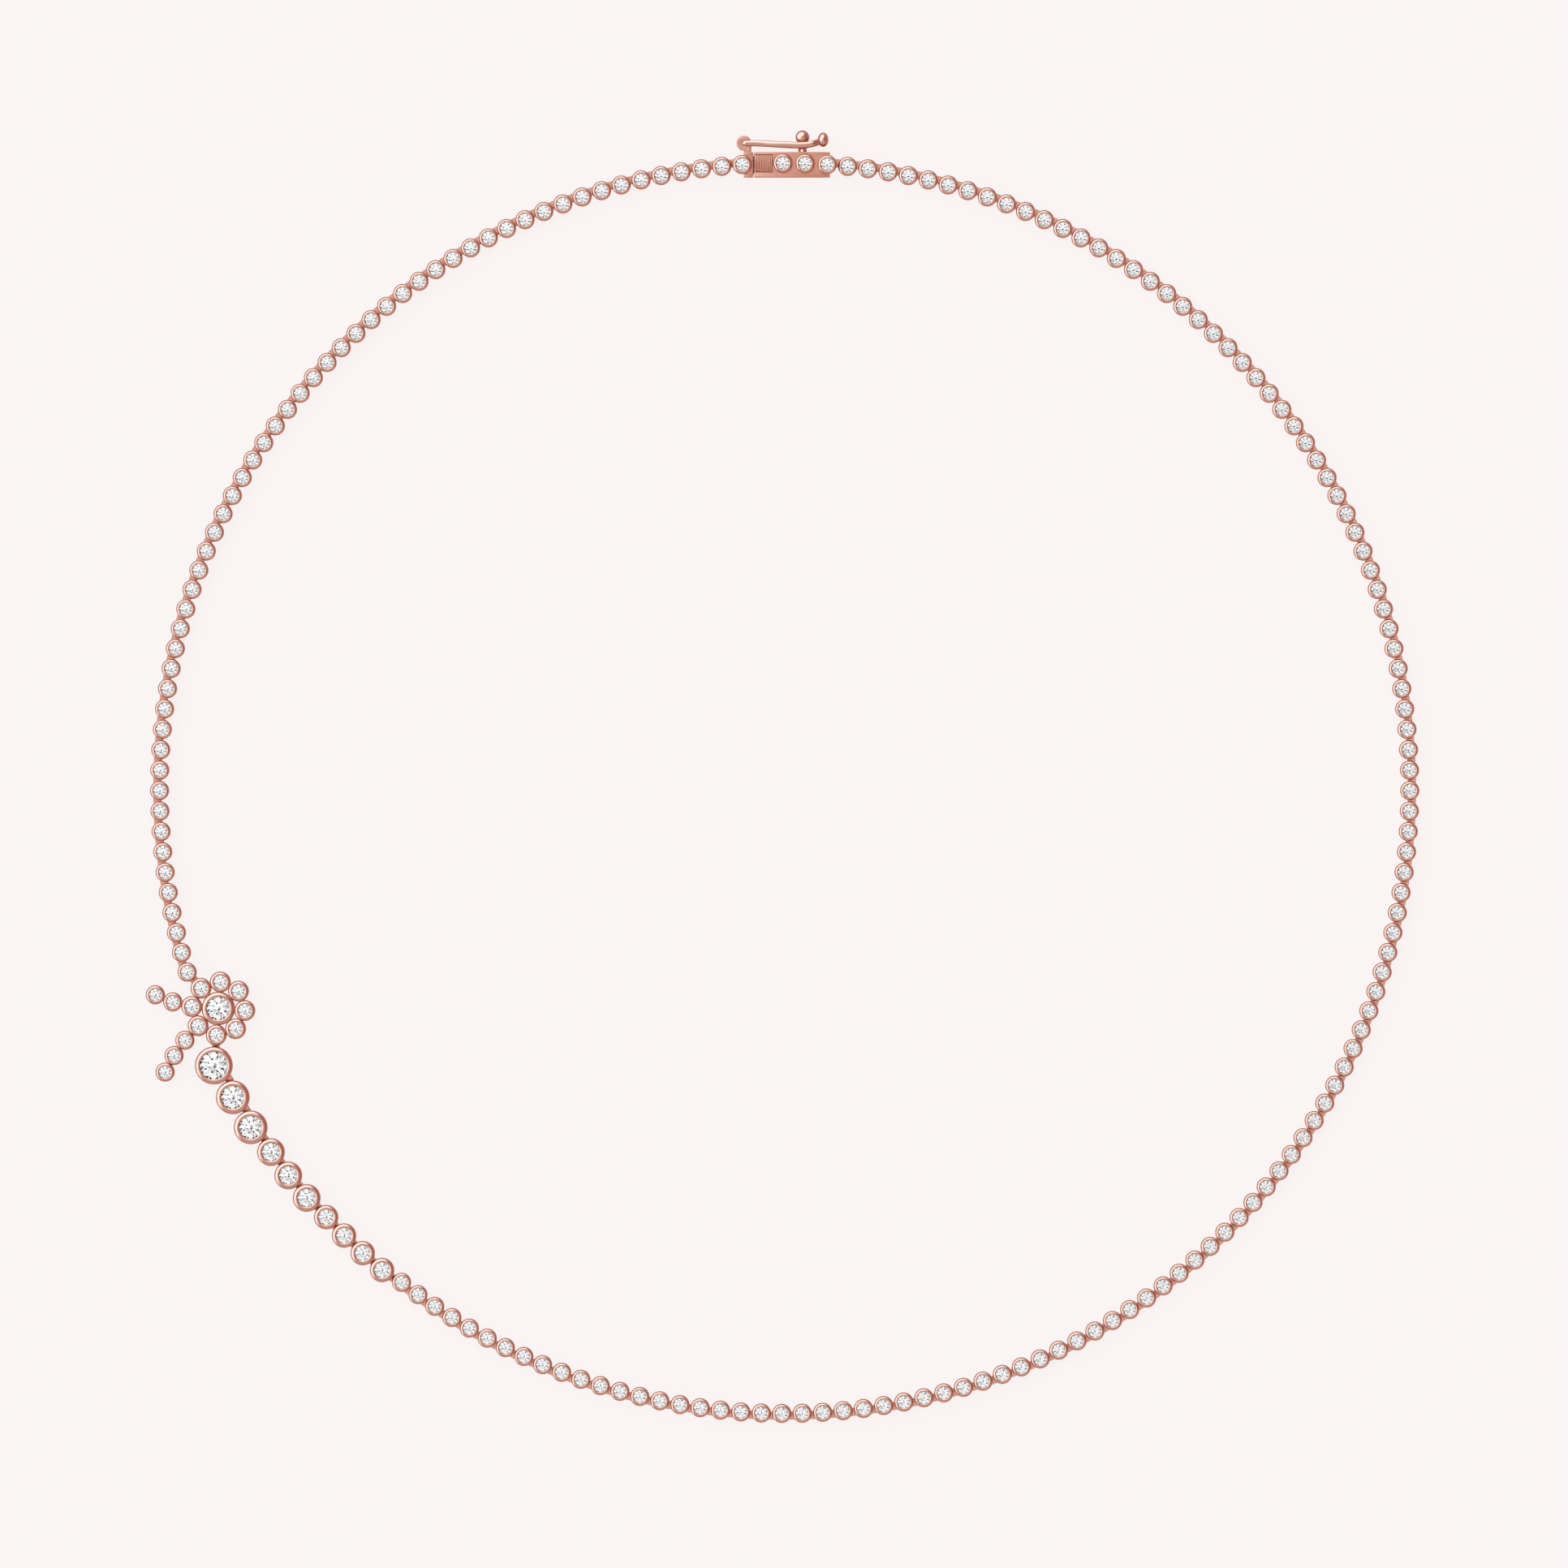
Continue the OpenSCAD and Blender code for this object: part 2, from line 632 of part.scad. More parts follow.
// Spring leaf with the ribbed press, which pivots at the middle of the tongue's fold
module thumb_press() {
    rib_pitch = press_l / (rib_n + 0.5);
    color(pale_rose) {
        clasp_block(leaf_left, fold_x - tongue_gap, tongue_w, leaf_z, leaf_z + leaf_t);
        clasp_block(leaf_left, leaf_left + stem_w, stem_w, leaf_z, press_z + press_t / 2, press_off);
        clasp_block(press_left, press_left + press_l, press_w, press_z, box_h, press_off);
        for (k = [0:rib_n - 1])
            clasp_block(press_left + (k + 0.5) * rib_pitch, press_left + (k + 1) * rib_pitch,
                press_w, box_h - rib_h, box_h + rib_h, press_off);
    }
}

// The latch's middle line, seen from above, from 0 at the pivot to 1 at the tip
function latch_y(s) = -latch_sag * pow(s, 2) + (latch_sag + latch_rise) * pow(s, 6);
// A smooth climb from 0 at a to 1 at b
function climb(s, a, b) = let (t = min(max((s - a) / (b - a), 0), 1)) t * t * (3 - 2 * t);
// Half the gap between the strands: the ear's gap, the loop round the post, then closed
function strand_gap(s) = ear_half + (loop_half - ear_half) * climb(s, loop_starts, loop_full)
    - loop_half * climb(s, loop_closes, 1);
// Points of an outline that runs out along one side and back along the other
function along_latch(low, high) = concat(
    [for (k = [0:len(low) - 1]) [k / latch_steps * latch_l, low[k]]],
    [for (k = [len(high) - 1:-1:0]) [k / latch_steps * latch_l, high[k]]]);

module safety_latch() {
    shares = [for (k = [0:latch_steps]) k / latch_steps];
    slot = [for (s = shares) if (s < loop_ends) strand_gap(s)];
    outer = [for (s = shares) strand_gap(s) + strand_t];
    middle = [for (s = shares) latch_y(s)];
    half = strand_w / 2;
    color(rose)
        translate([-pivot_back, clasp_y + pivot_out, latch_z]) {
            intersection() {
                translate([0, 0, -box_h])
                    linear_extrude(2 * box_h)
                        polygon(along_latch([for (y = middle) y - half], [for (y = middle) y + half]));
                rotate([90, 0, 0]) translate([0, 0, -box_w])
                    linear_extrude(2 * box_w)
                        difference() {
                            polygon(along_latch(-outer, outer));
                            polygon(along_latch(-slot, slot));
                            translate([-over, -ear_half]) square([2 * over, 2 * ear_half]);
                        }
            }
            for (z = [-ear_half - strand_t, ear_half])
                translate([0, 0, z]) cylinder(r = half, h = strand_t);
            translate([0, 0, -ear_half - strand_t / 2]) cylinder(r = pivot_r, h = 2 * ear_half + strand_t);
            translate([latch_l, latch_y(1), 0]) scale([tip_x, tip_y, tip_z]) sphere(r = 1);
        }
}

module clasp_stone(n) {
    set_stone(clasp_stone_at(n - 1), small_stone_d, clasp_rim_h);
}

right_chain();
left_chain();
for (i = [1:graded_n]) {
    graduated_link(i);
    graduated_stone(i);
}
flower_setting();
heart_stone();
for (i = [1:petal_n])
    petal_stone(i);
for (i = [1:spray_n])
    spray_stone(i);
clasp_box();
clasp_tongue();
thumb_press();
safety_latch();
for (i = [1:len(CLASP_X)])
    clasp_stone(i);
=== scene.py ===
"""A riviere necklace lying flat: settings, hinged links, flower and clasp in rose gold, and stones."""

import math

import bpy
from bpy.props import FloatProperty, FloatVectorProperty, IntProperty, PointerProperty
from mathutils import Matrix, Vector
from mathutils.geometry import tessellate_polygon


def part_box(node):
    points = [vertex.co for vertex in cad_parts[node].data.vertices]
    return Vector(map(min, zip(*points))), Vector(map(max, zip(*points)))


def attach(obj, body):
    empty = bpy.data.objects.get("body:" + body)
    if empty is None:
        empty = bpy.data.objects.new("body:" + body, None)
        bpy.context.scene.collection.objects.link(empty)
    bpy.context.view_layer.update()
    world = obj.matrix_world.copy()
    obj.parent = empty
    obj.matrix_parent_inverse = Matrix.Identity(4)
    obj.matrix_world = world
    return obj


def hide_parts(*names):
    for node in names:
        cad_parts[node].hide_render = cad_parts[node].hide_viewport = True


bl_info = {
    "name": "Riviere Necklace",
    "version": (1, 0, 0),
    "blender": (4, 5, 0),
    "location": "View3D > Sidebar > Riviere",
    "description": "Dresses a riviere necklace in rose gold and round brilliants",
    "category": "Add Mesh",
}

MM = 0.001
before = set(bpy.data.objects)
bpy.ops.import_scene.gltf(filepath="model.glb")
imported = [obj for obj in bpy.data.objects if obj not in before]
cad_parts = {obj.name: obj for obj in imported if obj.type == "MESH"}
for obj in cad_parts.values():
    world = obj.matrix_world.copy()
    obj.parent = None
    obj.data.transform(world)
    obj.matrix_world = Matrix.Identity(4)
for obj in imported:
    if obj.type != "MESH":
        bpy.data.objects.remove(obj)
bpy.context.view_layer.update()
BODY = "necklace"
METAL = "rose_gold"
STONE = "diamond"

# A round brilliant, as shares of its diameter
TABLE, CROWN, GIRDLE, PAVILION, STAR, LOWER = 0.57, 0.15, 0.03, 0.43, 0.55, 0.24
CROWN_SLOPE = CROWN / (0.5 - TABLE / 2)
PAVILION_SLOPE = PAVILION / 0.5
# Where a cup's side swells out, as shares of the foot's inset and of the height up to the rim
SWELL_IN, SWELL_UP = 0.15, 0.2
# Where an eye starts, and how far to each side a cheek starts, as shares of the foot's radius
EYE_ROOT, CHEEK_ROOT = 0.7, 0.9
# Where a cheek has its full width, as a share of its reach, and the stations on the way there
CHEEK_FULL, CHEEK_STEPS = 0.8, (0, 0.35, 0.65, 1)
# A face that looks up or down by more than this share counts as flat
FLAT = 0.9
# Rounding of a block's upright edges, as a share of its other edges' softening
UPRIGHT = 1.5
# Turn of the flower's and the clasp's settings, in degrees, so that their faces don't meet edge on
FACE_TURN = 2.5
# Places closer than this count as one
TINY = 0.002 * MM
# Metal edges sharper than this, in degrees, stay sharp
SHARP = 38
# How fine the patterns are in the metal and in the stones' painted tint
CLOUDS, MARKS, GRAIN, FACETS = 900, 6000, 9000, 2.2
# Depth of the metal's marks and grain
RELIEF = 0.02 * MM
# The metal's darkest patches, as shares of its colour: polished, and grained
CLOUD_SHADE, GRAIN_SHADE = 0.93, 0.86
# Least and greatest roughness, as shares of the finish's own: polished, and grained
POLISH_SPREAD, GRAIN_SPREAD = (0.7, 1.5), (1, 1.3)


def length(name, description, millimetres):
    return FloatProperty(
        name=name, description=description, default=millimetres * MM, min=0, unit="LENGTH", precision=5
    )


def share(name, description, default, high=1.0):
    return FloatProperty(
        name=name, description=description, default=default, min=0, max=high, subtype="FACTOR"
    )


def colour(name, description, default):
    return FloatVectorProperty(
        name=name, description=description, default=default, size=3, min=0, max=1, subtype="COLOR"
    )


class RiviereSettingSizes(bpy.types.PropertyGroup):
    rim: length("Rim Radius", "Outer radius of a small setting's rim", 1.0)
    stone: length("Stone", "Diameter of a small stone", 1.45)
    height: length("Height", "Height of a small setting", 1.7)
    height_gain: FloatProperty(
        name="Height Gain", description="Height gained for each unit of rim radius", default=0.45, min=0
    )
    rim_h: length("Round", "Height of the rounded part of a rim", 0.28)
    skirt: length("Skirt", "Height of the upright band under the round", 0.1)
    lean: share("Lean", "Under 1, moves the rim's crest towards the stone", 0.6)
    crown: share("Crown", "Under 1, makes the rim's round fuller", 0.6)
    lip: length("Lip", "Height of the rim's sharp inner edge", 0.04)
    trim: length("Trim", "Width trimmed off the inside of the round", 0.04)
    cover: length("Cover", "Width of a stone's edge that the rim covers", 0.07)
    gap: length("Stone Gap", "Gap between a stone and its setting", 0.03)
    ledge: length("Ledge", "Width of the ledge that a stone rests on", 0.16)
    wall: length("Wall", "Wall of a setting's foot", 0.25)
    foot_in: length("Foot Inset", "How far the foot stands inside the rim", 0.452)
    flare_z: length("Flare", "Height at which the foot opens out to the rim", 0.97)
    edge: length("Edge", "Softening of the foot's lower edge", 0.03)
    sides: IntProperty(name="Sides", description="Faces round a large setting", default=64, min=12)
    small_sides: IntProperty(name="Small Sides", description="Faces round a small link", default=36, min=12)


class RiviereHingeSizes(bpy.types.PropertyGroup):
    right_links: IntProperty(name="Right Links", description="Small links right of the clasp", default=114)
    left_links: IntProperty(name="Left Links", description="Small links left of the clasp", default=55)
    pin: length("Pin Radius", "Radius of a link's upright pin", 0.15)
    play: length("Play", "Play between any two parts of a hinge", 0.11)
    eye_t: length("Eye Thickness", "Thickness of the eye round the pin", 0.22)
    eye_wall: length("Eye Wall", "Metal round the eye's hole", 0.14)
    cheek_t: length("Cheek Thickness", "Thickness of each cheek of the fork", 0.18)
    cheek_w: length("Cheek Width", "Width of the fork's cheeks", 0.84)
    reach: length("Cheek Reach", "Length of the cheeks past the pin", 0.34)
    out: length("Pin Offset", "How far outside the loop's middle line the pins stand", 0.25)
    fork_z: length("Fork Height", "Height of the forks above the table", 0.06)
    corner: length("Corner", "Rounding of the cheeks' corners", 0.1)
    edge: length("Edge", "Softening of every edge of a hinge", 0.025)


class RiviereFlowerSizes(bpy.types.PropertyGroup):
    petal: length("Petal Radius", "Outer radius of a petal's rim", 1.085)
    spray: length("Spray Radius", "Outer radius of a spray setting's rim", 1.0)
    solder: length("Solder", "Overlap of two soldered rims", 0.06)
    drop: length("Drop", "Radius of a drop of solder between two rims", 0.2)
    joint_petal: IntProperty(name="Joint Petal", description="Petal with the second hinge", default=3)


class RiviereClaspSizes(bpy.types.PropertyGroup):
    left: length("Mouth", "Distance from the clasp's middle to the box's mouth", 3.18)
    right: length("End", "Distance from the clasp's middle to the box's far end", 4.68)
    width: length("Width", "Width of the box", 2.6)
    height: length("Height", "Height of the box", 1.8)
    wall: length("Wall", "Side walls of the box", 0.3)
    floor: length("Floor", "Floor of the box", 0.22)
    room_h: length("Room Height", "Height of the room for the tongue", 0.8)
    room_l: length("Room Length", "Length of the room for the tongue", 3.9)
    catch_h: length("Catch Depth", "Depth of the catch over the mouth", 0.16)
    catch_l: length("Catch Length", "Length of the catch, along the box", 0.25)
    end_l: length("End Block", "Length of the tongue's end block", 0.98)
    leaf: length("Leaf", "Thickness of the tongue and of its spring leaf", 0.2)
    gap: length("Gap", "Gap between the tongue and the box", 0.08)
    edge: length("Edge", "Softening of the box's edges", 0.05)
    press_l: length("Press Length", "Length of the ribbed press", 1.78)
    press_w: length("Press Width", "Width of the ribbed press", 1.72)
    press_t: length("Press Thickness", "Thickness of the ribbed press", 0.2)
    press_off: length("Press Offset", "How far the press lies off the middle line", 0.12)
    travel: length("Travel", "How far the press goes down", 0.18)
    ribs: IntProperty(name="Ribs", description="Ribs across the press", default=7)
    rib_h: length("Rib", "Height of a rib", 0.07)
    stem_w: length("Stem", "Width of the stem under the press", 0.6)


class RiviereLatchSizes(bpy.types.PropertyGroup):
    lift: length("Lift", "Height of the latch above the middle of the box", 0.15)
    pivot_out: length("Pivot Out", "Distance from the clasp's middle line to the pivot", 2.24)
    pivot_back: length("Pivot Back", "Distance from the clasp's middle to the pivot", 4.22)
    ear: length("Ear", "Radius of the ear that carries the latch", 0.77)
    ear_t: length("Ear Thickness", "Thickness of the ear", 0.4)
    pivot: length("Pivot Wire", "Radius of the upright pivot wire", 0.25)
    play: length("Play", "Play between the latch and what it moves past", 0.1)
    reach: length("Length", "Length from the pivot to the middle of the tip", 8.2)
    width: length("Strand Width", "Width of the strands, seen from above", 0.62)
    depth: length("Strand Thickness", "Thickness of each strand", 0.31)
    sag: length("Sag", "How far the latch sags towards the box", 0.68)
    rise: length("Rise", "How far the tip stands out", 0.36)
    tip_x: length("Tip Length", "Half length of the tip's bead", 0.56)
    tip_y: length("Tip Width", "Half width of the tip's bead", 0.75)
    tip_z: length("Tip Height", "Half height of the tip's bead", 0.58)
    post: length("Post", "Radius of the post that the latch holds", 0.45)
    knob: length("Knob", "Radius of the knob on the post", 0.72)
    knob_half: length("Knob Flats", "Half height of the knob between its flats", 0.52)
    knob_out: length("Knob Out", "Distance from the clasp's middle line to the knob", 2.85)
    post_shift: length("Post Shift", "How far the post stands before the box's middle stone", 0.26)
    bend: length("Bend", "Radius of the wire's bends at the pivot", 0.25)
    head: length("Collar", "Radius of the collar on the pivot wire inside the ear's hole", 0.32)
    head_in: length("Collar Inset", "How far the collar stands inside the ear's faces", 0.03)


class RiviereFinish(bpy.types.PropertyGroup):
    gold: colour("Gold", "Colour of the polished metal", (0.68, 0.35, 0.268))
    satin: colour("Satin", "Colour of the clasp's satin faces", (0.7, 0.296, 0.205))
    # This colour of the hinges' flat faces is lighter than the polished gold. It is painted light that
    # brightens them where they lie in shade between the rims.
    brushed_painted_light: colour("Brushed", "Colour of the hinges' flat faces", (0.84, 0.42, 0.32))
    polish: share("Polish", "Roughness of the polished metal", 0.12)
    satin_roughness: share("Satin Roughness", "Roughness of the satin faces", 0.34)
    brushed_roughness: share("Brushed Roughness", "Roughness of the brushed faces", 0.2)
    marks: share("Marks", "Strength of the polishing marks", 0.04)
    grain: share("Grain", "Strength of the satin and brushed faces' grain", 0.2)
    stone: colour("Stone", "Colour of the stones", (0.98, 0.985, 1.0))
    # Painted tint: facets picked by the way they face turn darker and bluer, standing in for the stones'
    # fire and coloured reflections.
    stone_painted_tint: colour("Stone Shade", "Faint tint of some facets", (0.88, 0.88, 0.97))
    stone_shine: share("Stone Shine", "Strength of the facets' surface shine, seen from the front", 0.3)
    stone_ior: FloatProperty(name="Stone IOR", description="How strongly a stone bends light", default=2.42)


class RiviereStudio(bpy.types.PropertyGroup):
    ground: colour("Ground", "Colour of the pale ground", (0.97, 0.909, 0.906))
    # Darker than the ground: painted shade. This is the colour that the ground shows in the metal's
    # reflections, so the metal's edges darken as if the ground beside the pieces lay in shadow.
    reflected_shade: colour("Reflected Ground", "Colour of the ground in the metal", (0.75, 0.56, 0.505))
    frame_w: length("Frame Width", "Width that the camera sees on the ground", 162.37)
    aim_x: FloatProperty(name="Aim X", description="Aim right of the loop's middle", default=-0.07 * MM)
    aim_y: FloatProperty(name="Aim Y", description="Aim above the loop's middle", default=0.45 * MM)
    lens: FloatProperty(name="Lens", description="Focal length in millimetres", default=400)
    sensor: FloatProperty(name="Sensor", description="Sensor width in millimetres", default=36)
    sky: FloatProperty(name="Sky", description="Brightness of the studio's dome", default=1.0)


def sizes(name):
    """The scene's property group of that name."""
    return getattr(bpy.context.scene, "riviere_" + name)


def polar(radius, degrees):
    return Vector((radius * math.cos(math.radians(degrees)), radius * math.sin(math.radians(degrees))))


def middle(node):
    """Middle of a node of the frame, seen from above."""
    low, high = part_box(node)
    return ((low + high) / 2).xy


def top_of(node):
    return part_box(node)[1].z


def stone_width(node):
    """Diameter of the stone that is a node of the frame."""
    low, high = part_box(node)
    return (high.z - low.z) / (CROWN + GIRDLE + PAVILION)


def heading(start, end):
    way = end - start
    return math.degrees(math.atan2(way.y, way.x))


def placed(at, degrees=0.0, z=0.0):
    """A spot seen from above, with its turn and its height."""
    return Matrix.Translation((at[0], at[1], z)) @ Matrix.Rotation(math.radians(degrees), 4, "Z")


class Form:
    """Points and faces that grow into one mesh."""

    def __init__(self):
        self.points = []
        self.faces = []

    def add(self, solid, place=None):
        start = len(self.points)
        points, faces = solid
        self.points += [place @ Vector(p) for p in points] if place else [Vector(p) for p in points]
        self.faces += [[start + i for i in face] for face in faces]
        return self

    def solid(self):
        return self.points, self.faces


def moved(solid, place):
    return Form().add(solid, place).solid()


def turned(outline, sides):
    """An outline of (radius, height) pairs turned about the upright axis, a point where it meets it."""
    points, rows = [], []
    for radius, height in outline:
        start = len(points)
        if radius == 0:
            points.append((0, 0, height))
            rows.append([start] * sides)
        else:
            turn = [math.tau * k / sides for k in range(sides)]
            points += [(radius * math.cos(a), radius * math.sin(a), height) for a in turn]
            rows.append(list(range(start, start + sides)))
    pairs = list(zip(rows, rows[1:]))
    if outline[0][0] and outline[-1][0]:
        pairs.append((rows[-1], rows[0]))
    faces = []
    for low, high in pairs:
        for k in range(sides):
            n = (k + 1) % sides
            face = [low[k], low[n], high[n], high[k]]
            faces.append([i for j, i in enumerate(face) if i != face[j - 1]])
    return points, faces


def arc(at, radius, start, end, steps):
    return [Vector(at) + polar(radius, start + (end - start) * k / steps) for k in range(steps + 1)]


def inset(loop, draw):
    """The loop moved to its left by draw, with its corners kept."""
    moved_loop = []
    for i, here in enumerate(loop):
        come = (here - loop[i - 1]).normalized()
        go = (loop[(i + 1) % len(loop)] - here).normalized()
        left = Vector((-come.y - go.y, come.x + go.x))
        moved_loop.append(here + left * draw / (1 + come.dot(go)))
    return moved_loop


def plate(loops, low, high, edge, steps=3):
    """A flat plate with softened edges.

    The first loop runs anticlockwise round it, the rest clockwise round its holes."""
    turns = [math.pi / 2 * k / steps for k in range(steps + 1)]
    drawn = [(edge * (1 - math.sin(a)), edge * (1 - math.cos(a))) for a in turns]
    levels = [(draw, low + rise) for draw, rise in drawn]
    levels += [(draw, high - rise) for draw, rise in reversed(drawn)]
    points = [(p.x, p.y, z) for draw, z in levels for loop in loops for p in inset(loop, draw)]
    level_n = sum(len(loop) for loop in loops)
    faces = []
    start = 0
    for loop in loops:
        for row in range(len(levels) - 1):
            base = row * level_n + start
            for k in range(len(loop)):
                n = (k + 1) % len(loop)
                faces.append([base + k, base + n, base + level_n + n, base + level_n + k])
        start += len(loop)
    cap = tessellate_polygon([[p.to_3d() for p in inset(loop, edge)] for loop in loops])
    flat = [Vector(points[i][:2]) for i in range(level_n)]
    last = (len(levels) - 1) * level_n
    for a, b, c in cap:
        if (flat[b] - flat[a]).cross(flat[c] - flat[a]) < 0:
            a, b = b, a
        faces.append([c, b, a])
        faces.append([last + a, last + b, last + c])
    return points, faces


def block(low, high, edge):
    """A block between two corners, its edges softened and its upright ones rounded."""
    (x0, y0, z0), (x1, y1, z1) = low, high
    loop = [Vector((x0, y0)), Vector((x1, y0)), Vector((x1, y1)), Vector((x0, y1))]
    corner = edge * UPRIGHT
    soft = []
    for i, here in enumerate(loop):
        come = (here - loop[i - 1]).normalized()
        go = (loop[(i + 1) % 4] - here).normalized()
        centre = here - come * corner + go * corner
        start = math.degrees(math.atan2(-go.y, -go.x))
        soft += arc(centre, corner, start, start + 90, 3)
    return plate([soft], z0, z1, edge)


def new_object(name, solid, material=None):
    mesh = bpy.data.meshes.new(name)
    points, faces = solid
    mesh.from_pydata([tuple(p) for p in points], [], faces)
    mesh.validate()
    if material:
        mesh.materials.append(material)
    piece = bpy.data.objects.new(name, mesh)
    bpy.context.scene.collection.objects.link(piece)
    return piece


def apply_modifiers(piece):
    """Puts what the modifiers make into the piece's mesh."""
    graph = bpy.context.evaluated_depsgraph_get()
    mesh = bpy.data.meshes.new_from_object(piece.evaluated_get(graph))
    old = piece.data
    piece.modifiers.clear()
    piece.data = mesh
    bpy.data.meshes.remove(old)


def fused(name, solids, cuts=()):
    """One closed solid from several that overlap, with the cuts taken away."""
    whole = new_object(name, solids[0])
    tools = [(new_object("tool", s), "UNION") for s in solids[1:]]
    tools += [(new_object("tool", s), "DIFFERENCE") for s in cuts]
    for tool, operation in tools:
        change = whole.modifiers.new(operation, "BOOLEAN")
        change.solver = "MANIFOLD"
        change.operation = operation
        change.object = tool
    apply_modifiers(whole)
    solid = [v.co.copy() for v in whole.data.vertices], [list(p.vertices) for p in whole.data.polygons]
    for spare in [whole] + [tool for tool, _ in tools]:
        mesh = spare.data
        bpy.data.objects.remove(spare)
        bpy.data.meshes.remove(mesh)
    if not solid[1]:
        raise RuntimeError(name + " came out empty")
    return solid


def finish_piece(name, solid, materials, slot, *replaced, body=BODY, polished=None):
    """Makes the piece, shades it, and lets it ride on its body in place of the nodes named.

    With two materials, the second goes on the faces that the test polished accepts."""
    piece = new_object(name, solid, materials[0])
    mesh = piece.data
    if slot == STONE:
        mesh.shade_flat()
    else:
        mesh.shade_smooth()
        mesh.set_sharp_from_angle(angle=math.radians(SHARP))
    if polished:
        mesh.materials.append(materials[1])
        for face in mesh.polygons:
            face.material_index = int(polished(face))
    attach(piece, body)
    if replaced:
        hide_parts(*replaced)
    return piece


# Settings

def girdle_z(size, h):
    """Height of the top of a stone's girdle in a setting of height h."""
    return h - size.rim_h - size.lip - size.cover * CROWN_SLOPE - size.gap


def bore_r(size, r, d):
    """Radius of the bore under a stone of diameter d in a setting of rim radius r."""
    return min(r - size.foot_in - size.wall, d / 2 - size.ledge)


def cup_side(size, r, h, steps=3):
    """The cup's side, from its foot up to the band under the round."""
    foot = Vector((r - size.foot_in, size.flare_z))
    band = Vector((r, h - size.rim_h - size.skirt))
    pull = Vector((r - SWELL_IN * size.foot_in, foot.y + SWELL_UP * (band.y - foot.y)))
    shares = [k / steps for k in range(1, steps)]
    curve = [foot * (1 - t) ** 2 + pull * 2 * t * (1 - t) + band * t * t for t in shares]
    return [Vector((foot.x - size.edge, 0)), Vector((foot.x, size.edge)), foot] + curve + [band]


def round_over(size, r, d, h, steps=9):
    """The rim's round, from its outer edge to its inner one, its crest nearer the stone."""
    width = r - d / 2 + size.cover + size.trim
    points = []
    for k in range(steps + 1):
        a = math.pi * k / steps
        across = ((1 - math.cos(a)) / 2) ** size.lean
        rise = max(math.sin(a), 0) ** size.crown
        points.append(Vector((r - width * across, h - size.rim_h + size.rim_h * rise)))
    return points


def room_side(size, d, h, bore=0.0):
    """The inside of a setting, from the lip down round the stone's room."""
    lip_r, seat_r = d / 2 - size.cover, d / 2 + size.gap
    lip_z = h - size.rim_h - size.lip
    belt_z = girdle_z(size, h) - GIRDLE * d - size.gap
    bottom = belt_z - (seat_r - bore) * PAVILION_SLOPE
    return [
        Vector((lip_r, lip_z)),
        Vector((seat_r, lip_z - (seat_r - lip_r) * CROWN_SLOPE)),
        Vector((seat_r, belt_z)),
        Vector((bore, bottom)),
    ]


def cup_body(size, r, d, h, sides):
    """A setting without its room, solid up to the rim."""
    outline = cup_side(size, r, h) + round_over(size, r, d, h)
    return turned([Vector((0, 0))] + outline + [Vector((0, h - size.rim_h))], sides)


def stone_room(size, d, h, bore, sides):
    """What is cut out of a setting for its stone, with an open bore below where bore isn't 0."""
    side = room_side(size, d, h, bore)[::-1]
    below = [Vector((0, -MM)), Vector((bore, -MM))] if bore else []
    lip_r = side[-1].x
    return turned(below + side + [Vector((lip_r, h + MM)), Vector((0, h + MM))], sides)


def brilliant(d):
    """A round brilliant with the top of its girdle at height 0."""
    r = d / 2
    half_turn = 22.5
    half_step = math.cos(math.radians(half_turn))
    table_r, lower_r = TABLE * r, LOWER * r
    star_r = table_r * half_step + STAR * (r - table_r * half_step)
    star_z = CROWN * d * (r - star_r * half_step) / (r - table_r)
    belt_z, deep = -GIRDLE * d, PAVILION * d

    def ring(radius, count, z, shift=0.0):
        return [polar(radius, 360 / count * k + shift).to_3d() + Vector((0, 0, z)) for k in range(count)]

    points = ring(table_r, 8, CROWN * d) + ring(star_r, 8, star_z, half_turn)
    points += ring(r, 16, 0) + ring(r, 16, belt_z)
    points += ring(lower_r, 8, belt_z - deep * (1 - lower_r * half_step / r), half_turn)
    points.append(Vector((0, 0, belt_z - deep)))
    star, top, low, lower, culet = 8, 16, 32, 48, 56
    faces = [list(range(8))]
    for k in range(8):
        left, right = (k + 7) % 8, (k + 1) % 8
        here, beside, after = 2 * k, 2 * k + 1, (2 * k + 2) % 16
        faces += [
            [k, star + k, right],
            [k, star + left, top + here, star + k],
            [star + k, top + here, top + beside],
            [star + k, top + beside, top + after],
            [low + here, lower + k, low + beside],
            [low + beside, lower + k, low + after],
            [culet, lower + k, low + here, lower + left],
        ]
    for k in range(16):
        after = (k + 1) % 16
        faces.append([top + k, low + k, low + after, top + after])
    return points, faces


# Hinges between the links

def smooth(t):
    """Goes from 0 to 1 with a soft start and a soft end."""
    return t * t * (3 - 2 * t)


def eye_towards(size, foot, spot, steps=1):
    """The eye that a link reaches out to the next one, its hole at a hinge's pin."""
    turn, reach, side = spot
    hole = size.pin + size.play
    radius = hole + size.eye_wall
    start = min(foot, reach) * EYE_ROOT
    outline = [Vector((start, side - radius))] + arc((reach, side), radius, -90, 90, 9)
    outline.append(Vector((start, side + radius)))
    ring = arc((reach, side), hole, 0, -330, 11)
    low = size.fork_z + size.cheek_t + size.play
    eye = plate([outline, ring], low, low + size.eye_t, size.edge, steps)
    return moved(eye, placed((0, 0), turn))


